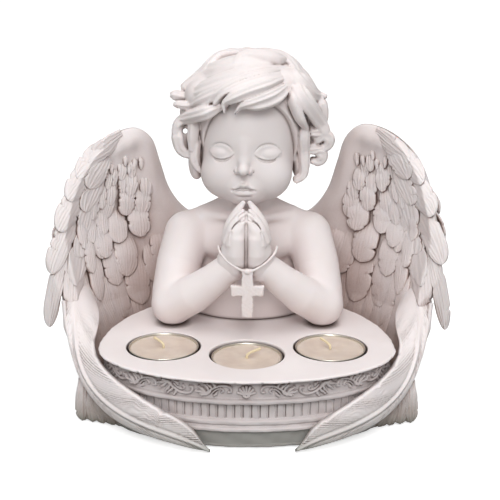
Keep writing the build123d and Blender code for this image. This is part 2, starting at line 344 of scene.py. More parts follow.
def resin_material(name, shelter_shade_strength, shelter_shade_color, heights=((0, *WHITE), (40, *WHITE)), reach=0.0032):
    """Matte warm-white painted resin, with painted grey-brown shade darkening its creases and a lighter
    painted shade over shut-in areas such as the inside of the wings; heights gives a painted shade tint at
    some heights in mm."""
    material, nodes, links, shader = new_material(name)
    set_inputs(shader, {
        "Roughness": 0.62, "Specular IOR Level": 0.28, "Subsurface Weight": 0.12,
        "Subsurface Radius": (0.9, 0.6, 0.45), "Subsurface Scale": 0.0015,
    })
    place = nodes.new("ShaderNodeTexCoord")
    cloud = noise(nodes, links, place, 22.0, 3.0)
    paint = color_ramp(nodes, cloud, links, (0.30, 0.800, 0.735, 0.728), (0.70, 0.880, 0.822, 0.820))
    # Painted shade: ambient occlusion over a few mm darkens creases and recesses grey-brown.
    crease_shade = color_ramp(nodes, openness(nodes, reach, 8), links, (0.25, 0.22, 0.17, 0.15), (0.78, *WHITE))
    with_crease_shade = multiply(nodes, links, paint, crease_shade, 0.95)
    # Painted shade: ambient occlusion over 45 mm darkens shut-in areas, such as the inside of the wings,
    # towards brown.
    shade = color_ramp(nodes, openness(nodes, 0.045, 6), links, (0.30, *shelter_shade_color), (0.84, *WHITE))
    with_shelter_shade = multiply(nodes, links, with_crease_shade, shade, shelter_shade_strength)
    # Painted shade by height: the object's height picks a tint from the heights ramp.
    split = nodes.new("ShaderNodeSeparateXYZ")
    ground = nodes.new("ShaderNodeMapRange")
    ground.inputs["From Max"].default_value = SHADE_HEIGHT_SPAN * MM
    links.new(place.outputs["Object"], split.inputs["Vector"])
    links.new(split.outputs["Z"], ground.inputs["Value"])
    stops = [(z / SHADE_HEIGHT_SPAN, *color) for z, *color in heights]
    height_shade = color_ramp(nodes, ground.outputs["Result"], links, *stops)
    links.new(multiply(nodes, links, with_shelter_shade, height_shade, 1.0), shader.inputs["Base Color"])
    add_bump(nodes, links, shader, noise(nodes, links, place, 900.0, 4.0), 0.10, 0.0004)
    return material


def wax_material():
    """Cream paraffin wax, a little translucent and faintly mottled."""
    material, nodes, links, shader = new_material("wax")
    set_inputs(shader, {
        "Roughness": 0.42, "Subsurface Weight": 0.35, "Subsurface Radius": (1.0, 0.8, 0.55),
        "Subsurface Scale": 0.003,
    })
    cloud = noise(nodes, links, nodes.new("ShaderNodeTexCoord"), 120.0, 5.0)
    tint = color_ramp(nodes, cloud, links, (0.35, 0.640, 0.530, 0.455), (0.65, 0.720, 0.615, 0.530))
    links.new(tint, shader.inputs["Base Color"])
    add_bump(nodes, links, shader, cloud, 0.15, 0.0003)
    return material


def plain_material(name, color, roughness, metallic=0.0):
    material, _, _, shader = new_material(name)
    set_inputs(shader, {"Base Color": (*color, 1), "Roughness": roughness, "Metallic": metallic})
    return material


# Painted shade by height: a greenish shade near the ground, and on the pedestal a dark plinth and a frieze
# shaded under the lip.
GROUND_SHADE_TINTS = ((0, 0.40, 0.48, 0.43), (6, 0.80, 0.83, 0.81), (20, *WHITE))
# Painted shade on the pedestal: a dark plinth, and sides that grow darker up to the frieze in the shadow of
# the lip; the lip and top are not shaded.
PLINTH_SHADE_COLOR = (0.42, 0.44, 0.415)
PEDESTAL_SHADE_TINTS = (
    (2.2, *PLINTH_SHADE_COLOR), (9.9, *PLINTH_SHADE_COLOR), (10.6, 0.84, 0.83, 0.83), (37.8, 0.67, 0.65, 0.65),
                  (38.8, *WHITE),
)
# Copies of one resin that differ in painted shade: little on the face, most inside the wings, painted shade
# by height on the wings, feathers and pedestal, and wider crease shade on the pedestal.
resin = resin_material("resin", 0.40, (0.72, 0.61, 0.58))
resin_face = resin_material("resin_face", 0.15, (0.72, 0.61, 0.58))
resin_wing = resin_material("resin_wing", 1.0, (0.50, 0.39, 0.35), GROUND_SHADE_TINTS)
resin_feather = resin_material("resin_feather", 0.30, (0.60, 0.52, 0.49), GROUND_SHADE_TINTS)
resin_base = resin_material("resin_base", 0.12, (0.72, 0.67, 0.65), PEDESTAL_SHADE_TINTS, 0.0050)
wax = wax_material()
aluminium = plain_material("tealight_aluminium", (0.72, 0.68, 0.60), 0.32, 1.0)
steel = plain_material("clip_steel", (0.58, 0.57, 0.55), 0.35, 1.0)
cotton = plain_material("wick_cotton", (0.78, 0.66, 0.44), 0.8)
felt_cloth = plain_material("felt", (0.16, 0.19, 0.165), 0.95)

# ---------------------------------------------------------------- pedestal
TABLE_Z = 40.0
ROW_Y = -29.0
TABLE_HALF_WIDTH = 80.5
TABLE_FRONT, TABLE_BACK = 47.0, 88.0
PANEL_PITCH = 4.65
FRIEZE_BOTTOM, FRIEZE_BAND = 29.1, 8.6
FRONT_COLUMNS, BACK_COLUMNS = 1300, 420


def outline(turn, inset=0.0):
    """Points of the pedestal's plan outline; turn in degrees is 0 at the right end and 270 at the front."""
    turn = np.radians(np.asarray(turn, float))
    depth = np.where(np.sin(turn) < 0, TABLE_FRONT, TABLE_BACK)
    return np.stack([
        (TABLE_HALF_WIDTH - inset) * np.cos(turn),
        ROW_Y + (depth - inset) * np.sin(turn),
    ], -1)


# Corners of the profile from the bottom up: height, inset, and how far each corner is rounded.
PROFILE = [
    (1.0, 6.2, 0.4), (1.3, 4.6, 0.5), (2.3, 4.5, 0.3), (2.6, 5.3, 0.3), (9.9, 5.1, 0.5), (10.3, 3.5, 0.5),
           (10.8, 2.8, 0.7),
    (12.4, 2.7, 0.7), (12.9, 3.9, 0.4), (13.9, 4.2, 0.4), (14.5, 3.3, 0.7), (16.5, 3.3, 0.8),
           (17.0, 4.6, 0.4), (17.4, 4.9, 0.3),
    (25.4, 4.9, 0.4), (25.8, 3.0, 0.6), (26.4, 1.9, 0.8), (28.2, 1.9, 0.8), (28.9, 4.0, 0.6),
           (37.9, 4.3, 0.5),
    (38.2, 1.5, 0.5), (38.5, 0.3, 0.6), (39.4, 0.0, 0.6), (40.0, 0.9, 0.5), (40.0, 3.0, 0.3),
]


def rounded_profile(corners, step):
    """The profile as closely spaced points, its corners rounded."""
    points = [np.array(corners[0][:2])]
    for before, corner, after in zip(corners, corners[1:], corners[2:]):
        b, c, a = (np.array(v[:2]) for v in (before, corner, after))
        reach = min(corner[2], np.linalg.norm(c - b) * 0.48, np.linalg.norm(a - c) * 0.48)
        start, end = c + unit(b - c) * reach, c + unit(a - c) * reach
        for t in (0, 0.33, 0.67, 1):
            points.append((1 - t) ** 2 * start + 2 * t * (1 - t) * c + t**2 * end)
    points.append(np.array(corners[-1][:2]))
    dense = [points[0]]
    for a, b in zip(points, points[1:]):
        pieces = max(1, int(np.ceil(np.linalg.norm(b - a) / step)))
        dense += [a + (b - a) * n / pieces for n in range(1, pieces + 1)]
    return np.array(dense)


def scroll_relief(along, height):
    """Raised acanthus scrolls on the frieze; along is in mm from the middle of the front, and height
    runs from 0 to 1 up the band."""
    y = height * FRIEZE_BAND
    relief = np.zeros_like(along)

    def stroke(path, radii, tall):
        path = np.array(path, float)
        near = (along > path[:, 0].min() - 2) & (along < path[:, 0].max() + 2)
        px, py = along[near], y[near]
        best = np.zeros(px.shape)
        for a, b, ra, rb in zip(path[:-1], path[1:], radii[:-1], radii[1:]):
            ab = b - a
            t = np.clip(((px - a[0]) * ab[0] + (py - a[1]) * ab[1]) / max(ab @ ab, 1e-9), 0, 1)
            gap = np.hypot(px - a[0] - t * ab[0], py - a[1] - t * ab[1]) / (ra + t * (rb - ra))
            best = np.maximum(best, np.sqrt(np.clip(1 - gap**2, 0, 1)))
        relief[near] = np.maximum(relief[near], best * tall)

    # Acanthus sprays: each is a long arched stem, hooked at one end and breaking into leaves at the other.
    for way in (-1, 1):
        for start, size, flip in ((7.6, 1.0, 1), (28.5, 1.05, -1), (49.5, 1.0, 1), (69.5, 0.95, -1),
                                  (88.5, 0.9, 1)):
            spot = lambda a, b: (way * (start + a * size), FRIEZE_BAND / 2 + flip * b * size)
            arch = spline([spot(2.0, -0.9), spot(0.5, -0.7), spot(0.7, 1.3), spot(3.2, 2.7), spot(7.2, 2.3),
                           spot(11.0, 0.3),
                           spot(14.5, -1.9), spot(17.4, -2.6)], 34)
            stroke(arch, np.interp(np.linspace(0, 1, 34), [0, 0.25, 0.5, 1], [0.7, 0.75, 0.85, 0.45]), 1.0)
            inner = spline([spot(5.6, -1.2), spot(4.6, -0.2), spot(6.0, 0.9), spot(8.6, 0.1),
                            spot(10.4, -1.6)], 18)
            stroke(inner, np.linspace(0.65, 0.5, 18), 0.9)
            for a, b, lean, length in ((9.0, 1.4, 78, 2.6), (10.6, 0.6, 50, 3.6), (12.4, -0.6, 62, 4.0),
                                       (14.2, -1.6, 44, 4.6),
                                       (14.6, -1.8, 12, 4.4), (11.4, -0.6, -46, 2.8), (8.0, -1.2, -58, 2.0),
                                       (13.6, -2.0, -22, 2.4)):
                c, d = cos(radians(lean)), sin(radians(lean))
                stroke([spot(a, b), spot(a + 0.55 * length * c, b + 0.55 * length * d),
                        spot(a + length * c + 0.5, b + length * d - 0.3)],
                       [0.5, 0.95, 0.45], 1.1)
                stroke([spot(a + length * c + 0.4, b + length * d),
                        spot(a + length * c + 0.5, b + length * d)], [0.75, 0.75], 1.2)
    # Shell in the middle of the front, its ribs fanned upwards from a knot.
    for rib in range(7):
        a = radians(12 + rib * 26)
        stroke([(0.5 * cos(a), 2.0 + 0.3 * sin(a)), (2.6 * cos(a), 2.2 + 2.4 * sin(a)),
                (4.4 * cos(a), 2.3 + 4.3 * sin(a))],
               [0.4, 0.7, 0.95], 1.0)
    stroke([(-1.6, 1.6), (0, 1.0), (1.6, 1.6)], [0.6, 0.9, 0.6], 1.2)
    return relief


def build_pedestal():
    """The moulded table: its profile carried round the plan outline, with panels, frieze and chips."""
    profile = rounded_profile(PROFILE, 0.38)
    front = np.linspace(180, 360, FRONT_COLUMNS, endpoint=False)
    turns = np.concatenate([front, np.linspace(0, 180, BACK_COLUMNS, endpoint=False)])
    flat = outline(turns)
    steps = np.linalg.norm(np.diff(np.vstack([flat, flat[:1]]), axis=0), axis=1)
    length = np.concatenate([[0], np.cumsum(steps)[:-1]])
    front_end = length[FRONT_COLUMNS]
    back_middle = front_end + (length[-1] - front_end) / 2
    along = np.where(length > back_middle, length - length[-1], length) - length[FRONT_COLUMNS // 2]
    z = profile[:, 0][:, None] * np.ones(len(turns))
    inset = profile[:, 1][:, None] * np.ones(len(turns))
    along = along * np.ones((len(profile), 1))
    # Upright panels parted by a thin ridge with a cut beside it.
    off = ((along / PANEL_PITCH) % 1 - 0.5) * PANEL_PITCH
    panel = ramp(z, 17.4, 18.0) * (1 - ramp(z, 24.9, 25.4))
    inset = inset - 0.40 * np.exp(-((off / 0.34) ** 2)) * panel
    inset = (inset + (0.55 * np.exp(-(((off - 0.62) / 0.26) ** 2)) + 0.22
                      * np.exp(-(((off + 0.62) / 0.3) ** 2))) * panel)
    band = (z > 29.0) & (z < 37.8)
    relief = np.zeros_like(z)
    relief[band] = scroll_relief(along[band], (z[band] - FRIEZE_BOTTOM) / FRIEZE_BAND)
    inset = inset - relief * 1.25
    # The casting is never quite true.
    inset = inset + 0.14 * np.sin(along * 0.31 + z * 0.8) + 0.09 * np.sin(along * 0.83 - z * 0.55 + 1.3)
    chips = np.clip(np.sin(along * 0.47 + 0.6) * np.sin(along * 1.13 + 2.0) * np.sin(along * 0.19) - 0.35,
                    0, 1)
    inset = inset + 0.9 * chips * ramp(z, 37.9, 38.4) * (1 - ramp(z, 39.0, 39.9))
    verts = np.concatenate([outline(turns, inset), z[..., None]], -1).reshape(-1, 3)
    return make_object("pedestal", verts, closed_rings(len(profile), len(turns)), resin_base)


# Each tealight's x, y, the depth of its well, and the way its wick leans in degrees from the viewer's right.
TEALIGHTS = {
    "left": (-45.2, ROW_Y, 15.0, 128.0),
    "middle": (0.0, ROW_Y - 10.5, 16.2, 38.0),
    "right": (45.2, ROW_Y, 15.0, 122.0),
}
WELL_RADIUS = 20.2


def lathe(profile, centre, count=128):
    """A turned shape from (radius, z) points about a vertical axis, closed at both ends."""
    turn = np.linspace(0, 2 * pi, count, endpoint=False)
    profile = np.array(profile, float)
    verts = np.stack([
        centre[0] + profile[:, :1] * np.cos(turn),
        centre[1] + profile[:, :1] * np.sin(turn),
        profile[:, 1:] * np.ones(count),
    ], -1).reshape(-1, 3)
    return verts, closed_rings(len(profile), count)


def cut_with(obj, cutter):
    """Takes the cutter's volume away from a piece and removes the cutter."""
    modifier = obj.modifiers.new("cut", "BOOLEAN")
    modifier.operation = "DIFFERENCE"
    modifier.solver = "EXACT"
    modifier.object = cutter
    bpy.context.view_layer.update()
    evaluated = obj.evaluated_get(bpy.context.evaluated_depsgraph_get())
    mesh = bpy.data.meshes.new_from_object(evaluated)
    obj.modifiers.remove(modifier)
    obj.data = mesh
    bpy.data.objects.remove(cutter)


pedestal = build_pedestal()
for x, y, depth, _ in TEALIGHTS.values():
    edge = [(WELL_RADIUS + 0.7 * (1 - sin(a)), TABLE_Z - 0.7 * (1 - cos(a)) + 0.02)
            for a in np.linspace(pi / 2, 0, 7)[::-1]]
    shape = [(0.01, TABLE_Z - depth), (WELL_RADIUS - 0.6, TABLE_Z - depth),
             (WELL_RADIUS, TABLE_Z - depth + 0.6)]
    shape += edge[::-1] + [(edge[0][0], TABLE_Z + 3), (0.01, TABLE_Z + 3)]
    verts, faces = lathe(shape, (x, y))
    cut_with(pedestal, make_object("well_cutter", verts, faces, resin))
pedestal.data.set_sharp_from_angle(angle=radians(50))
piece(pedestal, "figurine", "resin", "pedestal")

FELT_COLUMNS = 220
turns = np.linspace(0, 360, FELT_COLUMNS, endpoint=False)
rings = [(7.9, 0.0), (7.2, 0.3), (7.2, 1.02)]
verts = np.vstack([np.c_[outline(turns, inset), np.full(FELT_COLUMNS, z)] for inset, z in rings])
felt_pad = make_object("felt_base_pad", verts, closed_rings(len(rings), FELT_COLUMNS), felt_cloth)
piece(felt_pad, "figurine", "felt", "felt_base_pad")

# ---------------------------------------------------------------- tealights
CUP_HEIGHT = 15.0
WAX_COLUMNS = 160
WICK_RINGS, WICK_COLUMNS = 70, 18
for name, (x, y, depth, wick_turn) in TEALIGHTS.items():
    body = f"tealight_{name}"
    floor_z = TABLE_Z - depth
    top = floor_z + CUP_HEIGHT
    cup = [
        (0.01, floor_z), (17.6, floor_z), (18.2, floor_z + 0.25), (18.45, floor_z + 0.9), (18.5, top - 1.0),
        (18.65, top - 0.72), (18.95, top - 0.6), (19.0, top - 0.35), (18.9, top - 0.1), (18.6, top),
        (18.32, top - 0.12), (18.2, top - 0.45), (18.1, top - 1.0), (18.1, floor_z + 0.9),
           (17.7, floor_z + 0.45),
        (0.01, floor_z + 0.4),
    ]
    verts, faces = lathe(cup, (x, y), WAX_COLUMNS)
    piece(make_object(f"tealight_cup_{name}", verts, faces, aluminium), body, "tealight_aluminium",
          f"tealight_cup_{name}")
    wax_top = top - 1.4
    radii = np.concatenate([np.linspace(0.9, 17.0, 40), [17.5, 17.8, 18.0, 18.0]])
    heights = (wax_top + 0.25 * np.exp(-((radii - 1.2) / 1.5) ** 2) - 0.30
               * np.exp(-((radii - 7.0) / 4.5) ** 2))
    heights[-4:] = [wax_top + 0.25, wax_top + 0.42, wax_top + 0.30, floor_z + 0.5]
    turn = np.linspace(0, 2 * pi, WAX_COLUMNS, endpoint=False)
    ripple = 0.10 * np.sin(3 * turn + x) + 0.07 * np.sin(7 * turn - y)
    z = heights[:, None] + ripple * np.clip(radii[:, None] / 18, 0, 1) * np.sin(radii[:, None] * 0.55)
    z[-1] = floor_z + 0.5
    verts = np.stack([x + radii[:, None] * np.cos(turn), y + radii[:, None] * np.sin(turn), z],
                     -1).reshape(-1, 3)
    low = np.stack([x + 0.9 * np.cos(turn), y + 0.9 * np.sin(turn), np.full(WAX_COLUMNS, floor_z + 0.5)], -1)
    verts = np.vstack([verts, low])
    quads = grid_faces(len(radii) + 1, WAX_COLUMNS, wrap=True)
    first, last = np.arange(WAX_COLUMNS), WAX_COLUMNS * len(radii)
    after = (first + 1) % WAX_COLUMNS
    inner = np.stack([first, first + last, after + last, after], -1)
    wax_body = make_object(f"wax_{name}", verts, [quads[:, ::-1], inner[:, ::-1]], wax)
    piece(wax_body, body, "wax", f"wax_{name}")
    clip = [
        (0.8, floor_z + 0.45), (6.0, floor_z + 0.45), (6.2, floor_z + 0.6), (6.0, floor_z + 0.75),
        (1.5, floor_z + 0.8), (1.3, floor_z + 1.1), (1.3, floor_z + 4.6), (0.95, floor_z + 4.7),
            (0.8, floor_z + 4.6),
    ]
    verts, faces = lathe(clip, (x, y), 48)
    piece(make_object(f"wick_clip_{name}", verts, faces[:1], steel), body, "clip_steel", f"wick_clip_{name}")
    # A braided wick that stands in the wax and leans over.
    lean = radians(wick_turn)
    foot = floor_z + 0.7
    knee = wax_top + 1.7
    bend = [(0, foot), (0, (foot + knee) / 2), (0.1, knee - 0.6), (0.9, knee + 0.6), (3.0, knee + 1.2),
            (6.0, knee + 1.5),
            (9.0, knee + 1.6)]
    path = spline([(x + r * cos(lean), y + r * sin(lean), z) for r, z in bend], WICK_RINGS)
    side = np.array([-sin(lean), cos(lean), 0.0])
    tangents = unit(np.gradient(path, axis=0))
    over = unit(np.cross(tangents, side))
    rings = []
    for n in range(WICK_RINGS):
        angle = np.linspace(0, 2 * pi, WICK_COLUMNS, endpoint=False)
        thick = 0.66 + 0.10 * np.sin(angle * 3 + n * 1.1) + (0.12 if n > WICK_RINGS - 4 else 0)
        rings.append(path[n] + thick[:, None]
                     * (np.cos(angle)[:, None] * side + np.sin(angle)[:, None] * over[n]))
    verts = np.vstack(rings)
    faces = [block[:, ::-1] for block in closed_rings(WICK_RINGS, WICK_COLUMNS)]
    piece(make_object(f"wick_{name}", verts, faces, cotton), body, "wick_cotton", f"wick_{name}")

# ---------------------------------------------------------------- figure
def sculpt_head():
    """The child's face and skull, looking straight ahead; the head is turned afterwards."""
    clay = Clay((-33, -11, 104), (33, 48, 180), 0.45)
    clay.add(ellipsoid((0, 27, 152), (28.5, 29, 31)))
    clay.add(ellipsoid((0, 22, 134), (25.5, 23.5, 24)), 8)
    clay.add(ellipsoid((0, 19, 121), (18.6, 16, 11.5)), 6)
    for side in (-1, 1):
        clay.add(ellipsoid((side * 12.8, 10.5, 126.0), (11.5, 11.5, 11.5)), 7)
        clay.cut(ellipsoid((side * 12.4, -5.6, 141.0), (8.5, 4.6, 4.8), (0, 0, side * 16)), 5)
    clay.add(ellipsoid((0, 6.0, 115.6), (7.5, 6.5, 6.0)), 6)
    clay.add(tube([(0, 0.6, 146), (0, -1.4, 139), (0, -4.0, 133.0)], [2.5, 2.1, 2.5]), 3.5)
    clay.add(ellipsoid((0, -5.2, 131.9), (2.9, 3.0, 2.6)), 1.6)
    for side in (-1, 1):
        clay.add(ellipsoid((side * 3.3, -2.2, 130.8), (1.7, 2.5, 1.7)), 1.2)
    clay.add(ellipsoid((0, 2.2, 121.2), (8.2, 4.4, 5.6)), 4)
    for side in (-1, 1):
        clay.cut(ellipsoid((side * 1.8, -4.7, 129.3), (1.0, 1.5, 0.9), (0, 0, side * -10)), 0.4)
        clay.cut(tube([(side * 4.9, -2.6, 132.6), (side * 5.3, -1.6, 130.9), (side * 4.9, -0.8, 129.4)],
                      [0.2, 0.3, 0.2]), 0.6)
        # Closed eyes: the ball under the lid, the fold above and the line of the lashes below.
        clay.add(ellipsoid((side * 12.6, 5.9, 139.6), (7.5, 5.9, 4.6), (0, side * 3, side * 14)), 0.7)
    for side in (-1, 1):
        lashes = spline([(side * x, z) for x, z in (
            (5.6, 139.9), (8.6, 137.6), (12.2, 136.5), (15.9, 137.0), (19.4, 139.9))], 24)
        fold = spline([(side * x, z) for x, z in (
            (6.0, 141.6), (8.8, 144.3), (12.6, 145.3), (16.5, 144.2), (20.0, 140.8))], 24)
        thin = np.sin(np.linspace(0.35, pi - 0.35, 24))
        clay.add(tube(clay.on_front([(x, z + 0.6) for x, z in lashes], 0.2), 0.66 * thin), 0.5)
        clay.cut(tube(clay.on_front([(x, z - 0.45) for x, z in lashes], 0.15), 0.85 * thin), 0.25)
        clay.cut(tube(clay.on_front(fold, 0.1), 0.68 * thin), 0.3)
    # Lips: a bowed upper one that lifts towards the nose, a shorter full lower one.
    for side in (-1, 1):
        for gap, size in ((0.0, 1.0), (0.5, 0.85)):
            upper = spline([(side * x, z + gap * (1 - x / 6.2)) for x,
                            z in ((5.9, 120.3), (4.0, 121.6), (2.0, 123.2), (0.5, 122.9))], 16)
            clay.add(tube(clay.on_front(upper, 0.45), np.linspace(0.4, size, 16)), 0.9)
    clay.add(ellipsoid((0, clay.front(0, 118.4) + 0.7, 118.5), (4.6, 1.9, 1.8)), 1.1)
    parting = spline([(-6.3, 119.9), (-3.6, 120.5), (-1.4, 121.0), (0, 120.5), (1.4, 121.0), (3.6, 120.5),
                      (6.3, 119.9)], 40)
    clay.cut(tube(clay.on_front(parting, 0.25), 0.55 + 0.30 * abs(np.linspace(-1, 1, 40))), 0.35)
    clay.cut(tube(clay.on_front([(0, 128.0), (0, 126.6), (0, 125.2)], -0.45), [0.8, 1.1, 1.0]), 1.0)
    clay.cut(ellipsoid((0, clay.front(0, 116.1) - 0.6, 116.1), (4.2, 1.5, 1.0)), 1.4)
    return clay


def sculpt_body():
    """Neck, chest, shoulders and arms; the elbows stand on the table."""
    clay = Clay((-60, -22, 36), (60, 62, 122), 0.65)
    clay.add(ellipsoid((0, 38, 80), (33, 18, 27)))
    clay.add(ellipsoid((0, 38, 54), (31, 18, 26)), 10)
    clay.add(ellipsoid((0, 36, 47), (36, 26, 24)), 6)
    clay.add(tube([(0, 31, 96), (-0.5, 28, 106), (-1, 25, 117)], [15, 12.8, 13.5]), 8)
    for side in (-1, 1):
        clay.add(tube([(side * 10, 32, 98), (side * 24, 30, 93.5), (side * 34, 28, 88)], [8, 9.5, 11]), 10)
        clay.add(ellipsoid((side * 14, 22, 83), (14, 6.5, 9.5), (0, side * -14, 0)), 5)
        clay.add(ellipsoid((side * 26, 55, 82), (11, 6, 14)), 8)
        # Collar bones.
        clay.add(tube([(side * 3.5, 17.5, 97.5), (side * 13, 18.5, 99.5), (side * 24, 24, 99.5)],
                      [1.6, 1.9, 1.6]), 4)
    clay.cut(tube([(0, 14.5, 92), (0, 14.0, 84), (0, 15.0, 76)], [1.2, 1.5, 1.0]), 5)
    for side in (-1, 1):
        clay.add(tube([(side * 35.0, 27, 87), (side * 39.5, 20, 72), (side * 42.0, 11, 58),
                       (side * 42.5, 7, 51.5)],
                      [13.2, 12.8, 12.3, 11.8]), 2.0)
        # The crease where the upper arm meets the chest.
        clay.cut(tube([(side * 24.0, 15.0, 86), (side * 25.6, 13.5, 77), (side * 26.6, 12.0, 69)],
                      [0.6, 1.3, 1.0]), 2.0)
        clay.add(tube([(side * 42.5, 6, 51.5), (side * 31.0, -0.5, 59.5), (side * 19.0, -5.2, 69.5),
                       (side * 10.5, -7.5, 77.5)],
                      [11.6, 10.9, 9.2, 8.2]), 2.0)
    return clay


def sculpt_hands():
    """Both hands, palms together, the little fingers towards the front."""
    clay = Clay((-20, -26, 72), (20, 16, 120), 0.4)
    for side in (-1, 1):
        s = lambda x, y, z: (side * x, y, z)
        # Heel and edge of the palm.
        clay.add(ellipsoid(s(6.6, -8.0, 85.5), (7.0, 9.5, 12.0), (0, side * 6, 0)), 0.6)
        clay.add(tube([s(9.2, -7.0, 76), s(8.2, -8.0, 82)], [8.0, 8.0]), 2.5)
        clay.add(tube([s(4.6, -13.0, 80), s(5.4, -14.8, 88), s(5.0, -14.8, 96), s(3.4, -13.4, 103)],
                      [4.4, 5.0, 4.6, 2.6]), 2.0)
        # Fingers lie flat against each other and step back from the little finger to the forefinger.
        fingers = [
            ([s(7.2, -14.2, 93), s(5.6, -15.0, 99), s(3.0, -14.2, 103.2), s(1.6, -13.0, 105.6)],
             [4.0, 3.3, 2.5, 1.5]),
            ([s(9.3, -10.6, 94), s(7.4, -11.6, 101), s(4.2, -11.4, 107.0), s(1.7, -10.6, 110.6)],
             [3.9, 3.3, 2.6, 1.5]),
            ([s(10.0, -6.6, 94), s(8.4, -7.4, 102.5), s(4.8, -7.6, 109.6), s(1.8, -7.4, 114.4)],
             [3.8, 3.3, 2.6, 1.5]),
            ([s(9.8, -2.6, 93), s(8.2, -3.2, 101), s(4.8, -3.6, 108.4), s(1.8, -3.8, 113.0)],
             [3.8, 3.3, 2.6, 1.5]),
        ]
        for path, radii in fingers:
            clay.add(tube(spline(path, 14), np.interp(np.linspace(0, 3, 14), [0, 1, 2, 3], radii)), 0.5)
        clay.add(tube(spline([s(6.0, 1.5, 84), s(5.0, 4.0, 93), s(2.6, 4.0, 101)], 8),
                      np.linspace(4.2, 2.4, 8)), 1.5)
        clay.add(ellipsoid(s(4.4, -6.6, 98), (4.3, 6.5, 11.0), (0, side * -14, 0)), 0.8)
    clay.add(ellipsoid((0, -9.5, 98), (4.6, 6.8, 12.5)), 0.8)
    # The line between the palms, and those where the little and ring fingers part from the hand.
    seam = [(0, clay.front(0.8, z) + 0.3, z) for z in np.arange(75.0, 114.0, 2.4)]
    clay.cut(tube(seam, 0.85 + 0 * np.arange(len(seam))), 0.6)
    for side in (-1, 1):
        for line in ([(0.8, 106.4), (4.0, 105.8), (6.6, 103.4), (8.4, 99.4), (9.0, 94.5)],
                     [(0.8, 110.4), (3.4, 109.0), (6.6, 105.8), (9.2, 101.4)]):
            path = spline([(side * x, z) for x, z in line], 20)
            clay.cut(tube(clay.on_front(path, 0.1), 0.75 * np.sin(np.linspace(0.6, pi - 0.3, 20))), 0.3)
            clay.add(tube(clay.on_front([(x, z - 1.0) for x, z in path], 0.45), 0.65 + 0 * np.arange(20)),
                     0.6)
    return clay


def sculpt_cord():
    """The thin cord over both wrists, from which the cross hangs."""
    clay = Clay((-20, -24, 74), (20, 4, 94), 0.35)
    for side in (-1, 1):
        path = spline([(side * 16.0, -6.5, 89.6), (side * 14.6, -12.0, 87.4), (side * 10.6, -16.6, 84.2),
                       (side * 6.0, -18.6, 81.4),
                       (side * 2.0, -19.4, 79.8), (0, -19.7, 79.4)], 24)
        clay.add(tube(path, 0.75 + 0.10 * np.sin(np.arange(24) * 1.9)), 0.3)
    clay.add(ellipsoid((0, -19.8, 79.6), (1.8, 1.5, 1.6)), 0.8)
    return clay


# The cross hangs clear of the middle tealight when that is lifted.
CROSS_Y = -18.4


def sculpt_cross():
    """The hanging cross, roughly cast with blunt edges."""
    clay = Clay((-12, -24, 50), (12, -15, 84), 0.35)
    x, y, z = np.meshgrid(*clay.axes, indexing="ij")
    def bar(cx, cz, half_x, half_z, half_y=1.5, edge=0.7):
        wide = half_x + 0.16 * np.sin(z * 0.55 + cx) + 0.10 * np.sin(z * 1.7)
        tall = half_z + 0.14 * np.sin(x * 0.7 + 1)
        q = [np.abs(x - cx) - wide + edge, np.abs(y - CROSS_Y) - half_y + edge, np.abs(z - cz) - tall + edge]
        outside = np.sqrt(sum(np.maximum(v, 0) ** 2 for v in q))
        return outside + np.minimum(np.maximum(np.maximum(q[0], q[1]), q[2]), 0) - edge
    rough = 0.10 * np.sin(x * 2.3 + 0.7 * z) * np.sin(z * 1.9 - 0.5 * x) + 0.06 * np.sin(x * 5.1 + 2 * z)
    clay.field = (np.minimum(bar(0, 66.8, 3.1, 13.8), bar(0, 68.3, 9.0, 3.0)) + rough).astype(np.float32)
    return clay


def turn_about(verts, degrees_turned, centre):
    """Vertices turned about the vertical axis through centre (x, y)."""
    a = radians(degrees_turned)
    x, y = verts[:, 0] - centre[0], verts[:, 1] - centre[1]
    return np.stack([centre[0] + x * cos(a) - y * sin(a), centre[1] + x * sin(a) + y * cos(a), verts[:, 2]],
                    1)


head_verts, head_faces = sculpt_head().mesh()
head_verts = turn_about(head_verts, -5.0, (0, 25))
piece(make_object("head", head_verts, head_faces, resin_face), "figurine", "resin", "head")

body_clay = sculpt_body()
body_clay.field = np.maximum(body_clay.field, (TABLE_Z - 0.1 - body_clay.axes[2]).astype(np.float32))
piece(make_object("body", *body_clay.mesh(), resin), "figurine", "resin", "torso", "left_arm", "right_arm")
hand_verts, hand_faces = sculpt_hands().mesh()
piece(make_object("hands", hand_verts - [0.8, 0, 0], hand_faces, resin), "figurine", "resin", "left_hand",
      "right_hand")
piece(make_object("wrist_cord", *sculpt_cord().mesh(), resin), "figurine", "resin", "wrist_cord")
piece(make_object("cross_pendant", *sculpt_cross().mesh(), resin), "figurine", "resin", "cross_pendant")

# ---------------------------------------------------------------- hair
SCALP_CENTRE = np.array([1.5, 27.0, 154.5])
SCALP_RADII = np.array([34.0, 30.5, 35.5])


def on_scalp(x, z, lift):
    """A point at (x, z) seen from the front, lifted above the scalp."""
    a, b, c = SCALP_RADII + lift
    inside = 1 - ((x - SCALP_CENTRE[0]) / a) ** 2 - ((z - SCALP_CENTRE[2]) / c) ** 2
    return (x, SCALP_CENTRE[1] - b * np.sqrt(max(inside, 0.0)), z)


def around_scalp(turn, rise, lift):
    """A point on the scalp by its angle round from the front, positive to the right, and its rise,
    both in degrees."""
    a, b, c = SCALP_RADII + lift
    turn, rise = radians(turn), radians(rise)
    return (SCALP_CENTRE[0] + a * cos(rise) * sin(turn), SCALP_CENTRE[1] - b * cos(rise) * cos(turn),
            SCALP_CENTRE[2] + c * sin(rise))


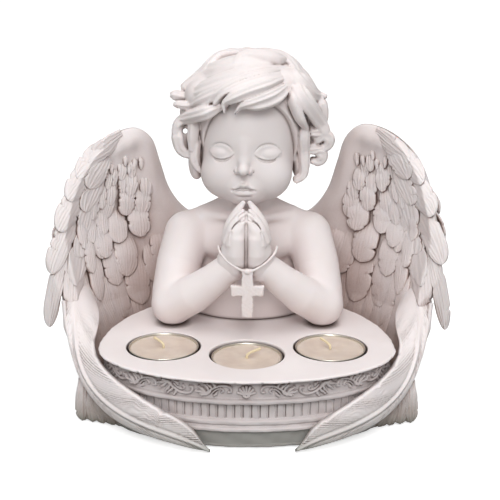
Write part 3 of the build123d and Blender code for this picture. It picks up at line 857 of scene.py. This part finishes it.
def lock(clay, points, width, height, tip=0.25, root=0.4, grooves=3, blend=0.45, depth=0.5, shift=0.0):
    """A lock of hair through 3-D points, wide from near its root and narrowing to its tip."""
    path = spline(points, 7 * len(points))
    t = np.linspace(0, 1, len(path))
    body = np.interp(t, [0, 0.3, 0.7, 1], [root, 1.0, 0.85, tip])
    normals = unit((path - SCALP_CENTRE) / SCALP_RADII**2)
    clay.add(ribbon(path, width * body, height * (0.35 + 0.65 * body), normals, grooves, depth, shift), blend)


# The parting's two ends, seen from the front, and how much of a lock's end its hook takes.
PARTING = ((21, 184), (22, 175))
HOOK_REACH = 13.0


def strand(root, heading, bend, hook, length, lift, nearest):
    """A lock's path over the scalp from a root (x, z). It sets off at heading, in degrees from the
    viewer's right through straight up, bends evenly along its way and hooks at its end. It never goes
    further back than y = nearest."""
    t = np.linspace(0, 1, 9)
    hooked = ramp(t, 1 - min(HOOK_REACH / length, 0.9), 1)
    step = length / (len(t) - 1)
    x, z = np.array(root, float)
    path = []
    for share, turned in zip(t, hooked):
        raised = lift * ramp(share, 0, 0.35) * (1 - 0.25 * ramp(share, 0.75, 1))
        place = on_scalp(x, z, raised)
        path.append((x, min(place[1], nearest), z))
        way = radians(heading + bend * share + hook * turned)
        x, z = x + step * cos(way), z + step * sin(way)
    return path


# Locks from the parting: share of the way down it, heading, bend, hook, length, lift, nearest,
# then half width, half thickness, tip share and grooves.
PARTED_LOCKS = [
    # swept over the top to the left, two of them flicked up at the temple
    (0.0, 165, 60, 0, 60, 2.2, 21, 8.4, 3.6, 0.50, 2),
    (0.1, 180, 42, -140, 65, 4.0, 17, 7.0, 4.3, 0.42, 2),
    (0.4, 180, 45, -125, 64, 4.2, 12, 5.2, 4.0, 0.42, 2),
    # fallen towards the brow
    (0.2, 172, 60, 25, 48, 5.6, 27, 2.7, 3.6, 0.50, 1),
    (0.4, 175, 50, 20, 43, 5.4, 27, 2.8, 3.6, 0.50, 1),
    (0.5, 178, 45, 30, 38, 4.8, 27, 3.4, 3.4, 0.40, 1),
    # the hooked forelock, the lock under it and the rolled edge of the hairline
    (0.5, 186, 30, 95, 42, 7.0, 27, 4.4, 4.2, 0.08, 2),
    (0.8, 203, -10, 55, 33, 5.8, 27, 4.0, 4.0, 0.10, 2),
    (1.0, 218, -45, 0, 27, 4.6, 27, 3.4, 3.8, 0.35, 1),
    # fallen to the right
    (0.0, -38, -20, 60, 27, 5.0, 20, 6.8, 3.8, 0.20, 2),
    (0.3, -53, -8, -115, 43, 6.4, 12, 5.8, 4.4, 0.45, 2),
    (0.8, -78, 22, 0, 27, 3.8, 12, 3.2, 3.8, 0.30, 1),
]
# Curls at the sides, from a root (x, z), with the same numbers after it.
SIDE_CURLS = [
    ((37, 169), -60, -50, 0, 19, 4.0, 20, 4.8, 4.2, 0.50, 2),
    ((30, 150), 5, -60, -125, 22, 5.0, 13, 4.4, 4.4, 0.50, 2),
    ((30, 141), 0, -60, -150, 19, 5.0, 13, 4.0, 4.2, 0.50, 2),
    ((30, 159), -88, 0, -80, 38, 2.0, 11, 3.4, 3.8, 0.45, 2),
    ((-13, 166), 198, 15, 55, 33, 5.0, 13, 4.4, 4.0, 0.50, 2),
    ((-38, 153), 262, 50, 60, 21, 6.0, 14, 4.2, 4.4, 0.50, 2),
    ((-29, 159), 262, 5, 0, 19, 1.5, 10, 3.2, 3.6, 0.45, 1),
    ((-29, 149), 265, 5, 50, 22, 1.5, 12, 3.4, 3.6, 0.45, 2),
]


def sculpt_hair():
    clay = Clay((-50, -16, 108), (53, 70, 202), 0.6)
    clay.add(ellipsoid(SCALP_CENTRE, SCALP_RADII - 0.5))
    clay.add(ellipsoid((0.5, 42, 130), (25, 17, 17)), 8)
    clay.add(ellipsoid((19, 13, 176), (9, 8, 8)), 8)
    clay.add(ellipsoid((-22, 17, 169), (13, 12, 10)), 8)
    clay.cut(ellipsoid((0.5, -14, 131), (36, 38, 43)), 1)
    clay.cut(ellipsoid((0, 14, 112), (40, 25, 26)), 2)
    for side in (-1, 1):
        clay.add(ellipsoid((side * 32.5, 22, 148), (6.5, 8, 13)), 3)
        clay.add(ellipsoid((side * 29, 20, 131), (4.6, 7, 10)), 3)
    rng = np.random.default_rng(7)
    # Waves from the crown down the back and sides of the head, in overlapping tiers.
    for tier, (rise, count, drop, width) in enumerate([(-2, 11, 52, 4.2), (22, 11, 50, 5.0),
            (48, 9, 46, 5.6)]):
        for n in range(count):
            turn = 72 + (n + 0.5 * (tier % 2)) * 216 / (count - 0.5) + rng.uniform(-5, 5)
            sway = rng.choice([-1, 1]) * rng.uniform(7, 12)
            points = []
            for k, s in enumerate(np.linspace(0, 1, 6)):
                low = rise + 30 - s * drop
                swing = sway * sin(2.2 * pi * s) + (1 - s) * (180 - turn) * 0.12
                points.append(around_scalp(turn + swing, low,
                                           0.5 + 3.0 * sin(pi * min(s * 0.8 + 0.1, 1))
                                           + (2.5 if k == 5 else 0)))
            lock(clay, points, width, 3.0, tip=0.3, grooves=3, shift=rng.uniform(0, 1))
    # Short locks that fill the top behind the parting.
    for turn, rise, sweep in [(-150, 74, -60), (-105, 66, -45), (-75, 58, -28), (150, 72, 55),
                              (105, 64, 40), (78, 56, 26)]:
        points = [around_scalp(turn + sweep * (s - 0.2), rise - 34 * s, 1.0 + 2.2 * sin(pi * s))
                  for s in np.linspace(0, 1, 5)]
        lock(clay, points, 5.4, 3.0, tip=0.3, grooves=3, shift=0.3)
    # The loose curl on the very top.
    lock(clay, strand((24, 184.5), 150, 50, 90, 36, 4.2, 27), 4.8, 3.6, tip=0.4, grooves=2)
    (top_x, top_z), (low_x, low_z) = PARTING
    locks = [((top_x + (low_x - top_x) * k, top_z + (low_z - top_z) * k), *more) for k,
             *more in PARTED_LOCKS] + SIDE_CURLS
    for *way, width, height, tip, grooves in locks:
        lock(clay, strand(*way), width, height, tip, grooves=grooves + 1, blend=0.18, depth=0.75)
    # The small gap inside the left curl.
    clay.cut(tube([(-34.6, 2, 152), (-36.6, 60, 140.6)], [1.5, 1.5]), 0.5)
    return clay


piece(make_object("hair", *sculpt_hair().mesh(), resin), "figurine", "resin", "hair")

# ---------------------------------------------------------------- wings
# Plan ellipses of the wings' outer wall: height, half width, half depth. A place on a wing is given by turn,
# the angle in degrees from the back (0) over the side (90) to the front, and by height.
WING_SECTIONS = np.array([(0, 86, 78), (24, 92, 81), (45, 101.5, 84), (92, 111.0, 86), (146, 106.0, 85)],
                         float)
WING_CENTRE_Y = -6.0
MM_PER_DEGREE = 1.7
WING_MIDDLE, WING_HALF = 4.6, 4.2
WING_EDGE = [
    (3, 76), (11, 82), (20.5, 90), (27, 104), (31, 122), (34.5, 136.5), (41, 143.5), (50, 141.5), (60, 134.5),
    (67, 127), (73, 116), (77, 104), (80, 91), (82, 76), (84, 61), (88, 46), (95, 33), (104, 20), (112, 3),
]
# The right wing stands a little higher along its outer part.
RIGHT_LIFT = np.array([(30, 0), (38, 2.5), (56, 5.5), (70, 7), (80, 5), (95, 0)], float)
WING_CREST = np.array([
    (3, 78), (18, 86), (26, 96), (31, 112), (35, 131), (41, 142), (52, 140), (61, 133), (70, 127),
                       (78, 121), (85, 113),
    (92, 101), (98, 80), (110, 45),
], float)


def wing_place(side, turn, z, inset):
    """The 3-D point of a wing at a turn and height, inset from the outer wall."""
    a = np.interp(z, WING_SECTIONS[:, 0], WING_SECTIONS[:, 1]) - inset
    b = np.interp(z, WING_SECTIONS[:, 0], WING_SECTIONS[:, 2]) - inset
    turn = np.radians(turn)
    return np.stack([side * a * np.sin(turn), WING_CENTRE_Y + b * np.cos(turn), z + 0 * turn], -1)


def wing_lift(side, turn):
    """How much higher a wing's edge stands than the shared outline."""
    return np.interp(turn, RIGHT_LIFT[:, 0], RIGHT_LIFT[:, 1]) * (side > 0)


def wing_shell(side):
    """The thick curved wing under the feathers, rounded over along its edge."""
    edge = spline(WING_EDGE, 240)
    edge[:, 1] += wing_lift(side, edge[:, 0])
    foot = np.stack([np.linspace(3, 112, 240) - 8 * np.sin(np.linspace(0, pi, 240)), np.full(240, 1.0)], -1)
    reach = 1 - (1 - np.linspace(0, 1, 110)) ** 1.35
    flat = foot[None] + (edge - foot)[None] * reach[:, None, None]
    scaled = flat * [MM_PER_DEGREE, 1]
    rim = edge * [MM_PER_DEGREE, 1]
    gap = np.full(flat.shape[:2], 1e9)
    for a, b in zip(rim[:-1], rim[1:]):
        ab = b - a
        t = np.clip(((scaled - a) @ ab) / (ab @ ab), 0, 1)
        gap = np.minimum(gap, np.linalg.norm(scaled - a - t[..., None] * ab, axis=-1))
    turn, z = flat[..., 0], flat[..., 1]
    thick = WING_HALF * np.sqrt(np.clip(1 - (1 - np.minimum(gap / 6.5, 1)) ** 2, 0, 1))
    roll = np.exp(-((gap - 8.0) / 5.0) ** 2) * (1 - ramp(turn, 62, 84)) * ramp(z, 60, 85)
    soft = 0.25 * np.sin(scaled[..., 0] * 0.23 + z * 0.11) + 0.15 * np.sin(scaled[..., 0] * 0.6 - z * 0.19)
    long_lines = 0.22 * np.sin(scaled[..., 0] * 1.9 + 2.2 * np.sin(z * 0.05)) * ramp(z, 90, 40)
    inner = WING_MIDDLE + thick + (roll * 1.7 + (soft + long_lines) * ramp(gap, 2, 9)) * (thick / WING_HALF)
    outer = WING_MIDDLE - thick - (roll * 1.4 + (soft - long_lines) * ramp(gap, 2, 9)) * (thick / WING_HALF)
    front = wing_place(side, turn, z, inner).reshape(-1, 3)
    back = wing_place(side, turn, z, outer).reshape(-1, 3)
    rows, columns = flat.shape[:2]
    count = rows * columns
    faces = [grid_faces(rows, columns), grid_faces(rows, columns, start=count)[:, ::-1]]
    for ring in (np.arange(columns), (rows - 1) * columns + np.arange(columns)[::-1],
                 np.arange(rows)[::-1] * columns, np.arange(rows) * columns + columns - 1):
        faces.append(np.stack([ring[1:], ring[:-1], ring[:-1] + count, ring[1:] + count], 1))
    faces = np.vstack(faces)
    return np.vstack([front, back]), faces[:, ::-1] if side > 0 else faces


def feather(place, foot, heading, length, half_width, lift=1.2, bend=0.0, flare=0.0, point=0.32, rng=None,
            thick=1.7,
            shaft=0.25, barbs=0.20, camber=0.7, root=0.72, ramp_up=0.6):
    """A feather laid on a surface. place(s, z, height) gives 3-D points; foot is (s, z) in mm; heading
    is in degrees from straight down towards larger s, and bend is added to it along the way."""
    rows = int(np.clip(length / 0.62, 16, 110))
    t = 1 - (1 - np.linspace(0, 1, rows)) ** 1.25
    heading = np.radians(heading + bend * t)
    step = np.diff(t, prepend=0) * length
    s = foot[0] + np.cumsum(np.sin(heading) * step)
    z = foot[1] - np.cumsum(np.cos(heading) * step)
    width = (half_width * (root + (1 - root) * ramp(t, 0, 0.5))
             * np.sqrt(np.clip(1 - (np.clip(t - (1 - point), 0, 1) / point) ** 2, 0, 1)))
    across = np.concatenate([[-1, -0.97], np.linspace(-0.9, 0.9, 25), [0.97, 1]])
    # Splits in the vane, where barbs have parted.
    left, right = np.ones(rows), np.ones(rows)
    for vane in (left, right):
        for _ in range(int(rng.integers(1, 4))):
            where = rng.uniform(0.35, 0.93)
            vane -= rng.uniform(0.10, 0.26) * np.clip(1 - np.abs(t - where) / rng.uniform(0.02, 0.05), 0, 1)
    u = across[None, :] * np.ones((rows, 1))
    reach = np.where(u < 0, u * left[:, None], u * right[:, None]) * width[:, None]
    # Carved barbs run down the vane, spreading a little towards the tip.
    count = max(2.0, half_width / rng.uniform(1.7, 2.3))
    wander = 0.10 * np.sin(t * rng.uniform(3, 8) + rng.uniform(0, 6))[:, None]
    phase = np.abs(u) ** 0.85 * count + 0.55 * t[:, None] + wander * count
    wave = (np.sin(2 * pi * phase + rng.uniform(0, 6) + 2.1 * (u > 0))
            * (0.65 + 0.35 * np.sin(9 * t[:, None] + 5 * u + rng.uniform(0, 6))))
    rise = lift * ramp(t, 0, ramp_up) - 1.3 * (1 - ramp(t, 0, 0.3))
    height = rise[:, None] + camber * (1 - u**2)
    height += barbs * wave * ramp(np.abs(u), 0.05, 0.3) * ramp(1.02 - t[:, None], 0.0, 0.1)
    height += shaft * np.exp(-((reach / 0.42) ** 2)) * (1 - 0.7 * t[:, None])
    height -= 0.22 * np.exp(-(((np.abs(reach) - 0.95) / 0.35) ** 2))
    height -= 0.9 * (np.abs(u) > 0.99)
    height -= 0.25 * ramp(np.abs(u), 0.9, 0.98)
    height += (flare * t**2)[:, None] * np.ones_like(u)
    lower_u = np.array([0.92, 0.4, -0.4, -0.92])
    lower_reach = lower_u[None, :] * width[:, None] * np.minimum(left, right)[:, None]
    lower = (rise - thick + flare * t**2)[:, None] * np.ones((1, 4))
    reach = np.hstack([reach, lower_reach])
    height = np.hstack([height, lower])
    ss = s[:, None] + reach * np.cos(heading)[:, None]
    zz = z[:, None] + reach * np.sin(heading)[:, None]
    verts = place(ss, zz, height).reshape(-1, 3)
    columns = len(across) + 4
    return verts, grid_faces(rows, columns, wrap=True), columns, rows


def join_feathers(name, parts, flip):
    """One object from many feathers, each closed at its root and its tip."""
    verts, quads, caps = [], [], []
    start = 0
    for points, faces, columns, rows in parts:
        verts.append(np.c_[points[:, :2], np.maximum(points[:, 2], 0.4)])
        quads.append(faces + start)
        caps.append((np.arange(columns) + start)[::-1])
        caps.append(np.arange(columns) + start + (rows - 1) * columns)
        start += len(points)
    quads, caps = np.vstack(quads), np.array(caps)
    if flip:
        quads, caps = quads[:, ::-1], caps[:, ::-1]
    return make_object(name, np.vstack(verts), [quads, caps], resin_wing)


def crest(side, turn):
    """Height of the line that rows of feathers hang below."""
    return float(np.interp(turn, WING_CREST[:, 0], WING_CREST[:, 1]) + wing_lift(side, turn))


FAN_X, FAN_RUN = 85, 0.743


def inner_feathers(side, rng):
    """Rows of coverts on the side of the wing that faces the child, then the long feathers under them."""
    place = lambda s, z, height: wing_place(side, s / MM_PER_DEGREE, z, WING_MIDDLE + WING_HALF + height)
    lay = lambda turn, z, *rest, **more: feather(place, (turn * MM_PER_DEGREE, z), *rest, rng=rng, **more)
    parts = []
    # Long feathers first, at the bottom of the pile.
    for n in range(10):
        turn = 26 + n * 6.2
        z = min(crest(side, turn) - 60, 64) - 0.2 * n
        parts.append(lay(turn, z, 2 + 2.5 * n, 50 + 1.2 * n, 7.8, lift=0.7 + 0.5 * (n % 2), bend=6,
                         point=0.16, camber=1.0))
    # Coverts facing the child: (drop below the crest, first turn, last turn, step, length, half width, lift).
    rows = [
        (71, 33, 60, 11.4, 33, 10.6, 1.5), (55, 31, 63, 10.4, 28, 9.8, 1.9), (41, 33, 64, 8.6, 22, 8.2, 2.2),
        (29.5, 36, 63, 6.4, 20, 6.2, 1.7), (21.5, 38, 62, 4.8, 16, 4.6, 1.4),
            (15.5, 41, 60, 3.8, 12, 3.2, 1.1),
    ]
    for number, (drop, first, last, pitch, length, half_width, lift) in enumerate(rows):
        for n, turn in enumerate(np.arange(first + (number % 2) * pitch / 2, last, pitch)):
            z = crest(side, turn) - drop + rng.uniform(-3.0, 3.0)
            parts.append(lay(turn + rng.uniform(-1.3, 1.3), z, 1 + 0.28 * (turn - 30) + rng.uniform(-7, 7),
                             length, half_width,
                             lift=lift + 0.6 * (n % 2), bend=rng.uniform(-4, 6),
                             point=rng.uniform(0.26, 0.38), camber=min(0.7, 0.09 * half_width)))
    # Longer feathers that stream towards the outer edge.
    rows = [
        (62, 62, 74, 7.4, 46, 8.2, 1.4), (47, 61, 72, 7.6, 37, 7.8, 1.9), (35, 60, 71, 7.0, 30, 6.8, 2.2),
        (25, 60, 70, 6.0, 24, 5.6, 2.4), (17, 58, 68, 5.0, 18, 4.2, 2.4),
    ]
    for number, (drop, first, last, pitch, length, half_width, lift) in enumerate(rows):
        for n, turn in enumerate(np.arange(first + (number % 2) * pitch / 2, last, pitch)):
            out = ramp(turn, 58, 88)
            z = crest(side, turn) - drop + rng.uniform(-2.0, 2.0)
            parts.append(lay(turn, z, 12 + 14 * out + rng.uniform(-5, 5), length, half_width,
                             lift=lift + 0.5 * (n % 2),
                             bend=rng.uniform(-8, 2), flare=-1.5 * out, point=rng.uniform(0.24, 0.36)))
    # Tufts where the coverts start under the smooth leading edge.
    for n, turn in enumerate(np.arange(40, 74, 2.3)):
        z = crest(side, turn) - 11.5 - 3.0 * (n % 3) + rng.uniform(-1, 1)
        parts.append(lay(turn, z, 5 + 0.3 * (turn - 39) + rng.uniform(-16, 16), rng.uniform(7, 10), 1.9,
                         lift=1.2, camber=0.5, barbs=0.10, point=0.7, shaft=0.15))
    # Big feathers that fan out past the outer edge, on a surface that faces the viewer and hugs the
    # wing's front rim; along it, FAN_RUN mm of x go with every mm of s.
    edge = spline(WING_EDGE, 120)
    edge = edge[edge[:, 0] > 58][::-1]
    rim_y = wing_place(side, edge[:, 0], edge[:, 1], WING_MIDDLE)[:, 1] - 2.5

    def fan(s, z, height):
        x = FAN_X + FAN_RUN * s
        wide, deep = (np.interp(z, WING_SECTIONS[:, 0], WING_SECTIONS[:, k]) - WING_MIDDLE - WING_HALF
                      for k in (1, 2))
        inner = WING_CENTRE_Y + deep * np.sqrt(np.clip(1 - (x / wide) ** 2, 0, 1))
        rim = np.interp(z - wing_lift(side, 70), edge[:, 1], rim_y) - 0.5 * np.maximum(x - 92, 0)
        return np.stack([side * (x - 0.45 * height), np.maximum(inner, rim) - 0.9 * height, z + 0 * s], -1)

    def fan_feather(x, z, lean, length, half_width, lift, bend):
        run, drop = length * sin(radians(lean)) / FAN_RUN, length * cos(radians(lean))
        parts.append(feather(fan, ((x - FAN_X) / FAN_RUN, z), degrees(atan2(run, drop)) - bend / 2,
                             hypot(run, drop), half_width, rng=rng,
                             lift=lift, bend=bend, point=rng.uniform(0.26, 0.36), thick=2.0, barbs=0.26,
                             camber=0.9, root=0.62))

    rise = float(wing_lift(side, 70))
    # The inner layer hangs nearly straight; the outer one leans out, most at the top, and is longest
    # at the bottom.
    for u in np.linspace(1, 0, 6):
        fan_feather(79 + 17 * u**0.8, 134 - 43 * u + rise * (1 - u), 4 + 30 * (1 - u) ** 2, 23 + 15 * u,
                    6.4, 4.2 - 3.4 * u, -8)
    for u in np.linspace(1, 0, 6 if side < 0 else 5):
        fan_feather(73 + 26 * u**0.8, 141 - 12 * u - 37 * u**2 + 0.35 * rise * (1 - u), 60 - 46 * u,
                    22 + 30 * u**3,
                    5.8 + 2.2 * sin(pi * u), 3.4 - 2.9 * u**2, -12)
    return join_feathers(f"wing_{'left' if side < 0 else 'right'}_inner_feathers", parts, side < 0)


def outer_feathers(side, rng):
    """Rows of feathers over the back of the wing, down to the tips that spread on the ground."""
    place = lambda s, z, height: wing_place(side, s / MM_PER_DEGREE, z, WING_MIDDLE - WING_HALF - height)
    lay = lambda turn, z, *rest, **more: feather(place, (turn * MM_PER_DEGREE, z), *rest, rng=rng, **more)
    parts = []
    for n in range(14):
        turn = 7 + n * 6.5
        z = min(crest(side, turn) - 30, 58)
        heading = -4 + 1.7 * n
        length = (z - 2.5) / cos(radians(min(heading + 4, 60)))
        parts.append(lay(turn, z, heading, length, 7.0, lift=0.8 + 0.3 * (n % 2), bend=4, point=0.14,
                         flare=2.5))
    rows = [
        (78, 40, 82, 8.4, 33, 8.6, 1.3), (62, 34, 80, 8.0, 30, 8.2, 1.5), (47, 6, 79, 7.8, 28, 7.9, 1.7),
        (35, 6, 77, 7.0, 24, 7.2, 1.9), (24.5, 6, 75, 6.2, 20, 6.3, 2.1), (15, 7, 72, 5.6, 16, 5.5, 2.2),
        (7, 35, 66, 4.8, 12, 4.4, 2.2),
    ]
    for number, (drop, first, last, pitch, length, half_width, lift) in enumerate(rows):
        for n, turn in enumerate(np.arange(first + (number % 2) * pitch / 2, last, pitch)):
            z = crest(side, turn) - drop + rng.uniform(-1.0, 1.0)
            if z < 36:
                continue
            parts.append(lay(turn, z, -2 + 0.22 * turn + rng.uniform(-4, 4), length, half_width,
                             lift=lift + 0.35 * (n % 2),
                             bend=rng.uniform(-3, 5), point=rng.uniform(0.28, 0.4)))
    # Feather tips that fan out on the ground at the front corners: (root x and z, tip x).
    corner = lambda s, z, height: np.stack([side * (94 + s), -37 + 0.28 * s - height, z + 0 * s], -1)
    for x in np.linspace(77, 88, 5):
        z = 15 + 0.75 * (x - 77)
        tip_x = x - 12 + 1.2 * (x - 77)
        run, drop = tip_x - x, z - 0.6
        parts.append(feather(corner, (x - 94, z), degrees(atan2(run, drop)), hypot(run, drop), 4.4, rng=rng,
                             lift=1.0 + 0.25 * (x % 3),
                             point=0.22, thick=2.4, barbs=0.3, camber=1.0))
    return join_feathers(f"wing_{'left' if side < 0 else 'right'}_outer_feathers", parts, side > 0)


for side_name, side in SIDES.items():
    verts, faces = wing_shell(side)
    piece(make_object(f"wing_{side_name}", verts, faces, resin_wing), "figurine", "resin",
          f"{side_name}_wing")
    rng = np.random.default_rng(11 if side < 0 else 23)
    piece(inner_feathers(side, rng), "figurine", "resin")
    piece(outer_feathers(side, rng), "figurine", "resin")


# Each front feather runs from inside its wing, round the side of the table, to the middle of the front.
# Its two edges follow the table's outline: degrees round from the table's end towards the front, the
# gap from the outline, and the height.
FEATHER_UPPER = [(-30, 22, 55), (-15, 6, 45), (5, 1.8, 40), (38, 2.2, 31), (66, 3, 18), (76, 1.2, 3)]
FEATHER_LOWER = [(-27, 28, 72), (-12, 25, 57), (4, 13, 31), (32, 4.6, 12), (66, 2.8, 4), (77, 1.2, 1.2)]
FEATHER_REACH = {"left": 1.0, "right": 0.935}


def beside_table(points, side_name, side, count):
    """A path round one end of the table; the right feather stops a little sooner."""
    turn, gap, z = spline(points, count).T
    turn = turn * np.where(turn > 0, FEATHER_REACH[side_name], 1)
    plan = outline(-turn, -gap)
    return np.stack([side * plan[:, 0], plan[:, 1], z], -1)


def front_feather(side_name, side, rng):
    """The broad feather that wraps the table's front, with its shaft near the lower edge."""
    rows, columns = 230, 52
    upper, lower = (beside_table(edge, side_name, side, rows) for edge in (FEATHER_UPPER, FEATHER_LOWER))
    t = np.linspace(0, 1, rows)
    w = 0.5 - 0.5 * np.cos(np.linspace(0, pi, columns))
    w = 0.35 * w + 0.65 * np.linspace(0, 1, columns)
    notch = np.zeros(rows)
    for _ in range(16):
        notch += (rng.uniform(0.015, 0.06)
                  * np.clip(1 - np.abs(t - rng.uniform(0.3, 0.95)) / rng.uniform(0.008, 0.02), 0, 1))
    share = notch[:, None] + (1 - notch[:, None]) * w[None, :]
    flat = upper[:, None] * (1 - share[..., None]) + lower[:, None] * share[..., None]
    span = np.linalg.norm(lower - upper, axis=1)[:, None]
    outward = unit(np.cross(np.gradient(flat, axis=0), np.gradient(flat, axis=1)))
    outward *= np.sign(np.sum(outward[rows // 2, columns // 2] * [0, -1, 0.2]) or 1)
    run = np.concatenate([[0], np.cumsum(np.linalg.norm(np.diff((upper + lower) / 2, axis=0), axis=1))])[:,
            None]
    shaft_at = 0.74 - 0.10 * t[:, None]
    off = (share - shaft_at) * span
    phase = (run - np.abs(off) * 2.6) / 3.1
    wave = (np.sin(2 * pi * phase) * (0.6 + 0.4 * np.sin(phase * 0.7 + 1)) + 0.28
            * np.sin(4.7 * pi * phase + 2 + 0.4 * off))
    bulge = 4 * share * (1 - share)
    height = 0.6 + 3.0 * bulge * np.clip(span / 30, 0, 1) * (1 - 0.55 * t[:, None])
    height += (0.42 * wave * ramp(np.abs(off), 0.6, 2.0) * ramp(np.minimum(share, 1 - share) * span, 0.2,
            1.2) * (0.35 + 0.65 * ramp(t[:, None], 0.12, 0.3)))
    height += 1.1 * np.exp(-((off / 0.95) ** 2)) * ramp(t[:, None], 0.15, 0.35) * (1 - 0.5 * t[:, None])
    height -= 0.35 * np.exp(-(((np.abs(off) - 1.9) / 0.6) ** 2)) * ramp(t[:, None], 0.15, 0.35)
    edge = np.minimum(share - notch[:, None], 1 - share) * span
    height += 0.7 * np.sqrt(np.clip(1 - (1 - np.minimum(edge / 1.2, 1)) ** 2, 0, 1))
    height -= 3.4 * (1 - ramp(t[:, None], 0.0, 0.17))
    thick = 2.6
    top = flat + outward * height[..., None]
    under_share = np.array([0.97, 0.7, 0.3, 0.03])[None, :] * np.ones((rows, 1))
    under = upper[:, None] * (1 - under_share[..., None]) + lower[:, None] * under_share[..., None]
    under_bulge = (4 * under_share * (1 - under_share) * 3.0 * np.clip(span / 30, 0, 1)
                   * (1 - 0.55 * t[:, None]))
    picks = [columns - 2, int(columns * 0.7), int(columns * 0.3), 1]
    under += outward[:, picks] * (under_bulge + 0.6 - thick)[..., None]
    verts = np.concatenate([top, under], axis=1)
    count = columns + 4
    quads = grid_faces(rows, count, wrap=True)
    caps = np.array([np.arange(count)[::-1], np.arange(count) + (rows - 1) * count])
    if side < 0:
        quads, caps = quads[:, ::-1], caps[:, ::-1]
    return make_object(f"front_feather_{side_name}", verts.reshape(-1, 3), [quads, caps], resin_feather)


for side_name, side in SIDES.items():
    rng = np.random.default_rng(31 if side < 0 else 47)
    piece(front_feather(side_name, side, rng), "figurine", "resin", f"{side_name}_front_feather")

# ---------------------------------------------------------------- stage
stage_material, nodes, links, shader = new_material("paper")
set_inputs(shader, {
    "Base Color": (0.95, 0.95, 0.95, 1), "Roughness": 0.9, "Emission Color": (*WHITE, 1),
                    "Emission Strength": 0.6,
})
FLOOR_HALF = 9000
floor_verts = np.array([(-1, -1, 0), (1, -1, 0), (1, 1, 0), (-1, 1, 0)], float) * FLOOR_HALF
make_object("floor", floor_verts, [np.array([[0, 1, 2, 3]])], stage_material)
bpy.data.objects["floor"].visible_diffuse = False

# Light that comes mostly from above; little comes back from below.
world = bpy.data.worlds.new("studio")
bpy.context.scene.world = world
world.use_nodes = True
nodes, links = world.node_tree.nodes, world.node_tree.links
place = nodes.new("ShaderNodeTexCoord")
split = nodes.new("ShaderNodeSeparateXYZ")
sky = nodes.new("ShaderNodeMapRange")
set_inputs(sky, {"From Min": -1.0, "From Max": 1.0})
links.new(place.outputs["Generated"], split.inputs["Vector"])
links.new(split.outputs["Z"], sky.inputs["Value"])
stops = [(0.30, 0.035, 0.050, 0.042), (0.55, 0.27, 0.27, 0.268), (0.95, 0.62, 0.61, 0.60)]
shades = color_ramp(nodes, sky.outputs["Result"], links, *stops)
links.new(shades, nodes["Background"].inputs["Color"])
nodes["Background"].inputs["Strength"].default_value = 1.0


def softbox(name, position, target, size, power):
    light = bpy.data.lights.new(name, "AREA")
    light.shape = "DISK"
    light.size = size
    light.energy = power
    obj = bpy.data.objects.new(name, light)
    bpy.context.scene.collection.objects.link(obj)
    obj.location = position
    obj.rotation_euler = (Vector(target) - Vector(position)).to_track_quat("-Z", "Y").to_euler()


softbox("key", (0.03, -0.95, 0.85), (0, 0, 0.08), 0.6, 6.6)
softbox("front", (-0.12, -1.30, 0.13), (0, 0, 0.09), 0.7, 3.6)
softbox("top", (0.05, -0.20, 1.2), (0, 0, 0.1), 0.6, 2.9)

camera_data = bpy.data.cameras.new("camera")
camera_data.lens = 79.2
camera_data.sensor_width = 36.0
camera = bpy.data.objects.new("camera", camera_data)
bpy.context.scene.collection.objects.link(camera)
aim = Vector((0.0013, 0.0, 0.0857))
elevation, distance = radians(17.3), 0.61075
camera.location = aim + Vector((0, -cos(elevation), sin(elevation))) * distance
turn = (aim - camera.location).to_track_quat("-Z", "Y")
camera.rotation_euler = turn.to_euler()
camera.rotation_euler.rotate_axis("Z", radians(0.4))
bpy.context.scene.camera = camera
bpy.context.scene.view_settings.view_transform = "Standard"
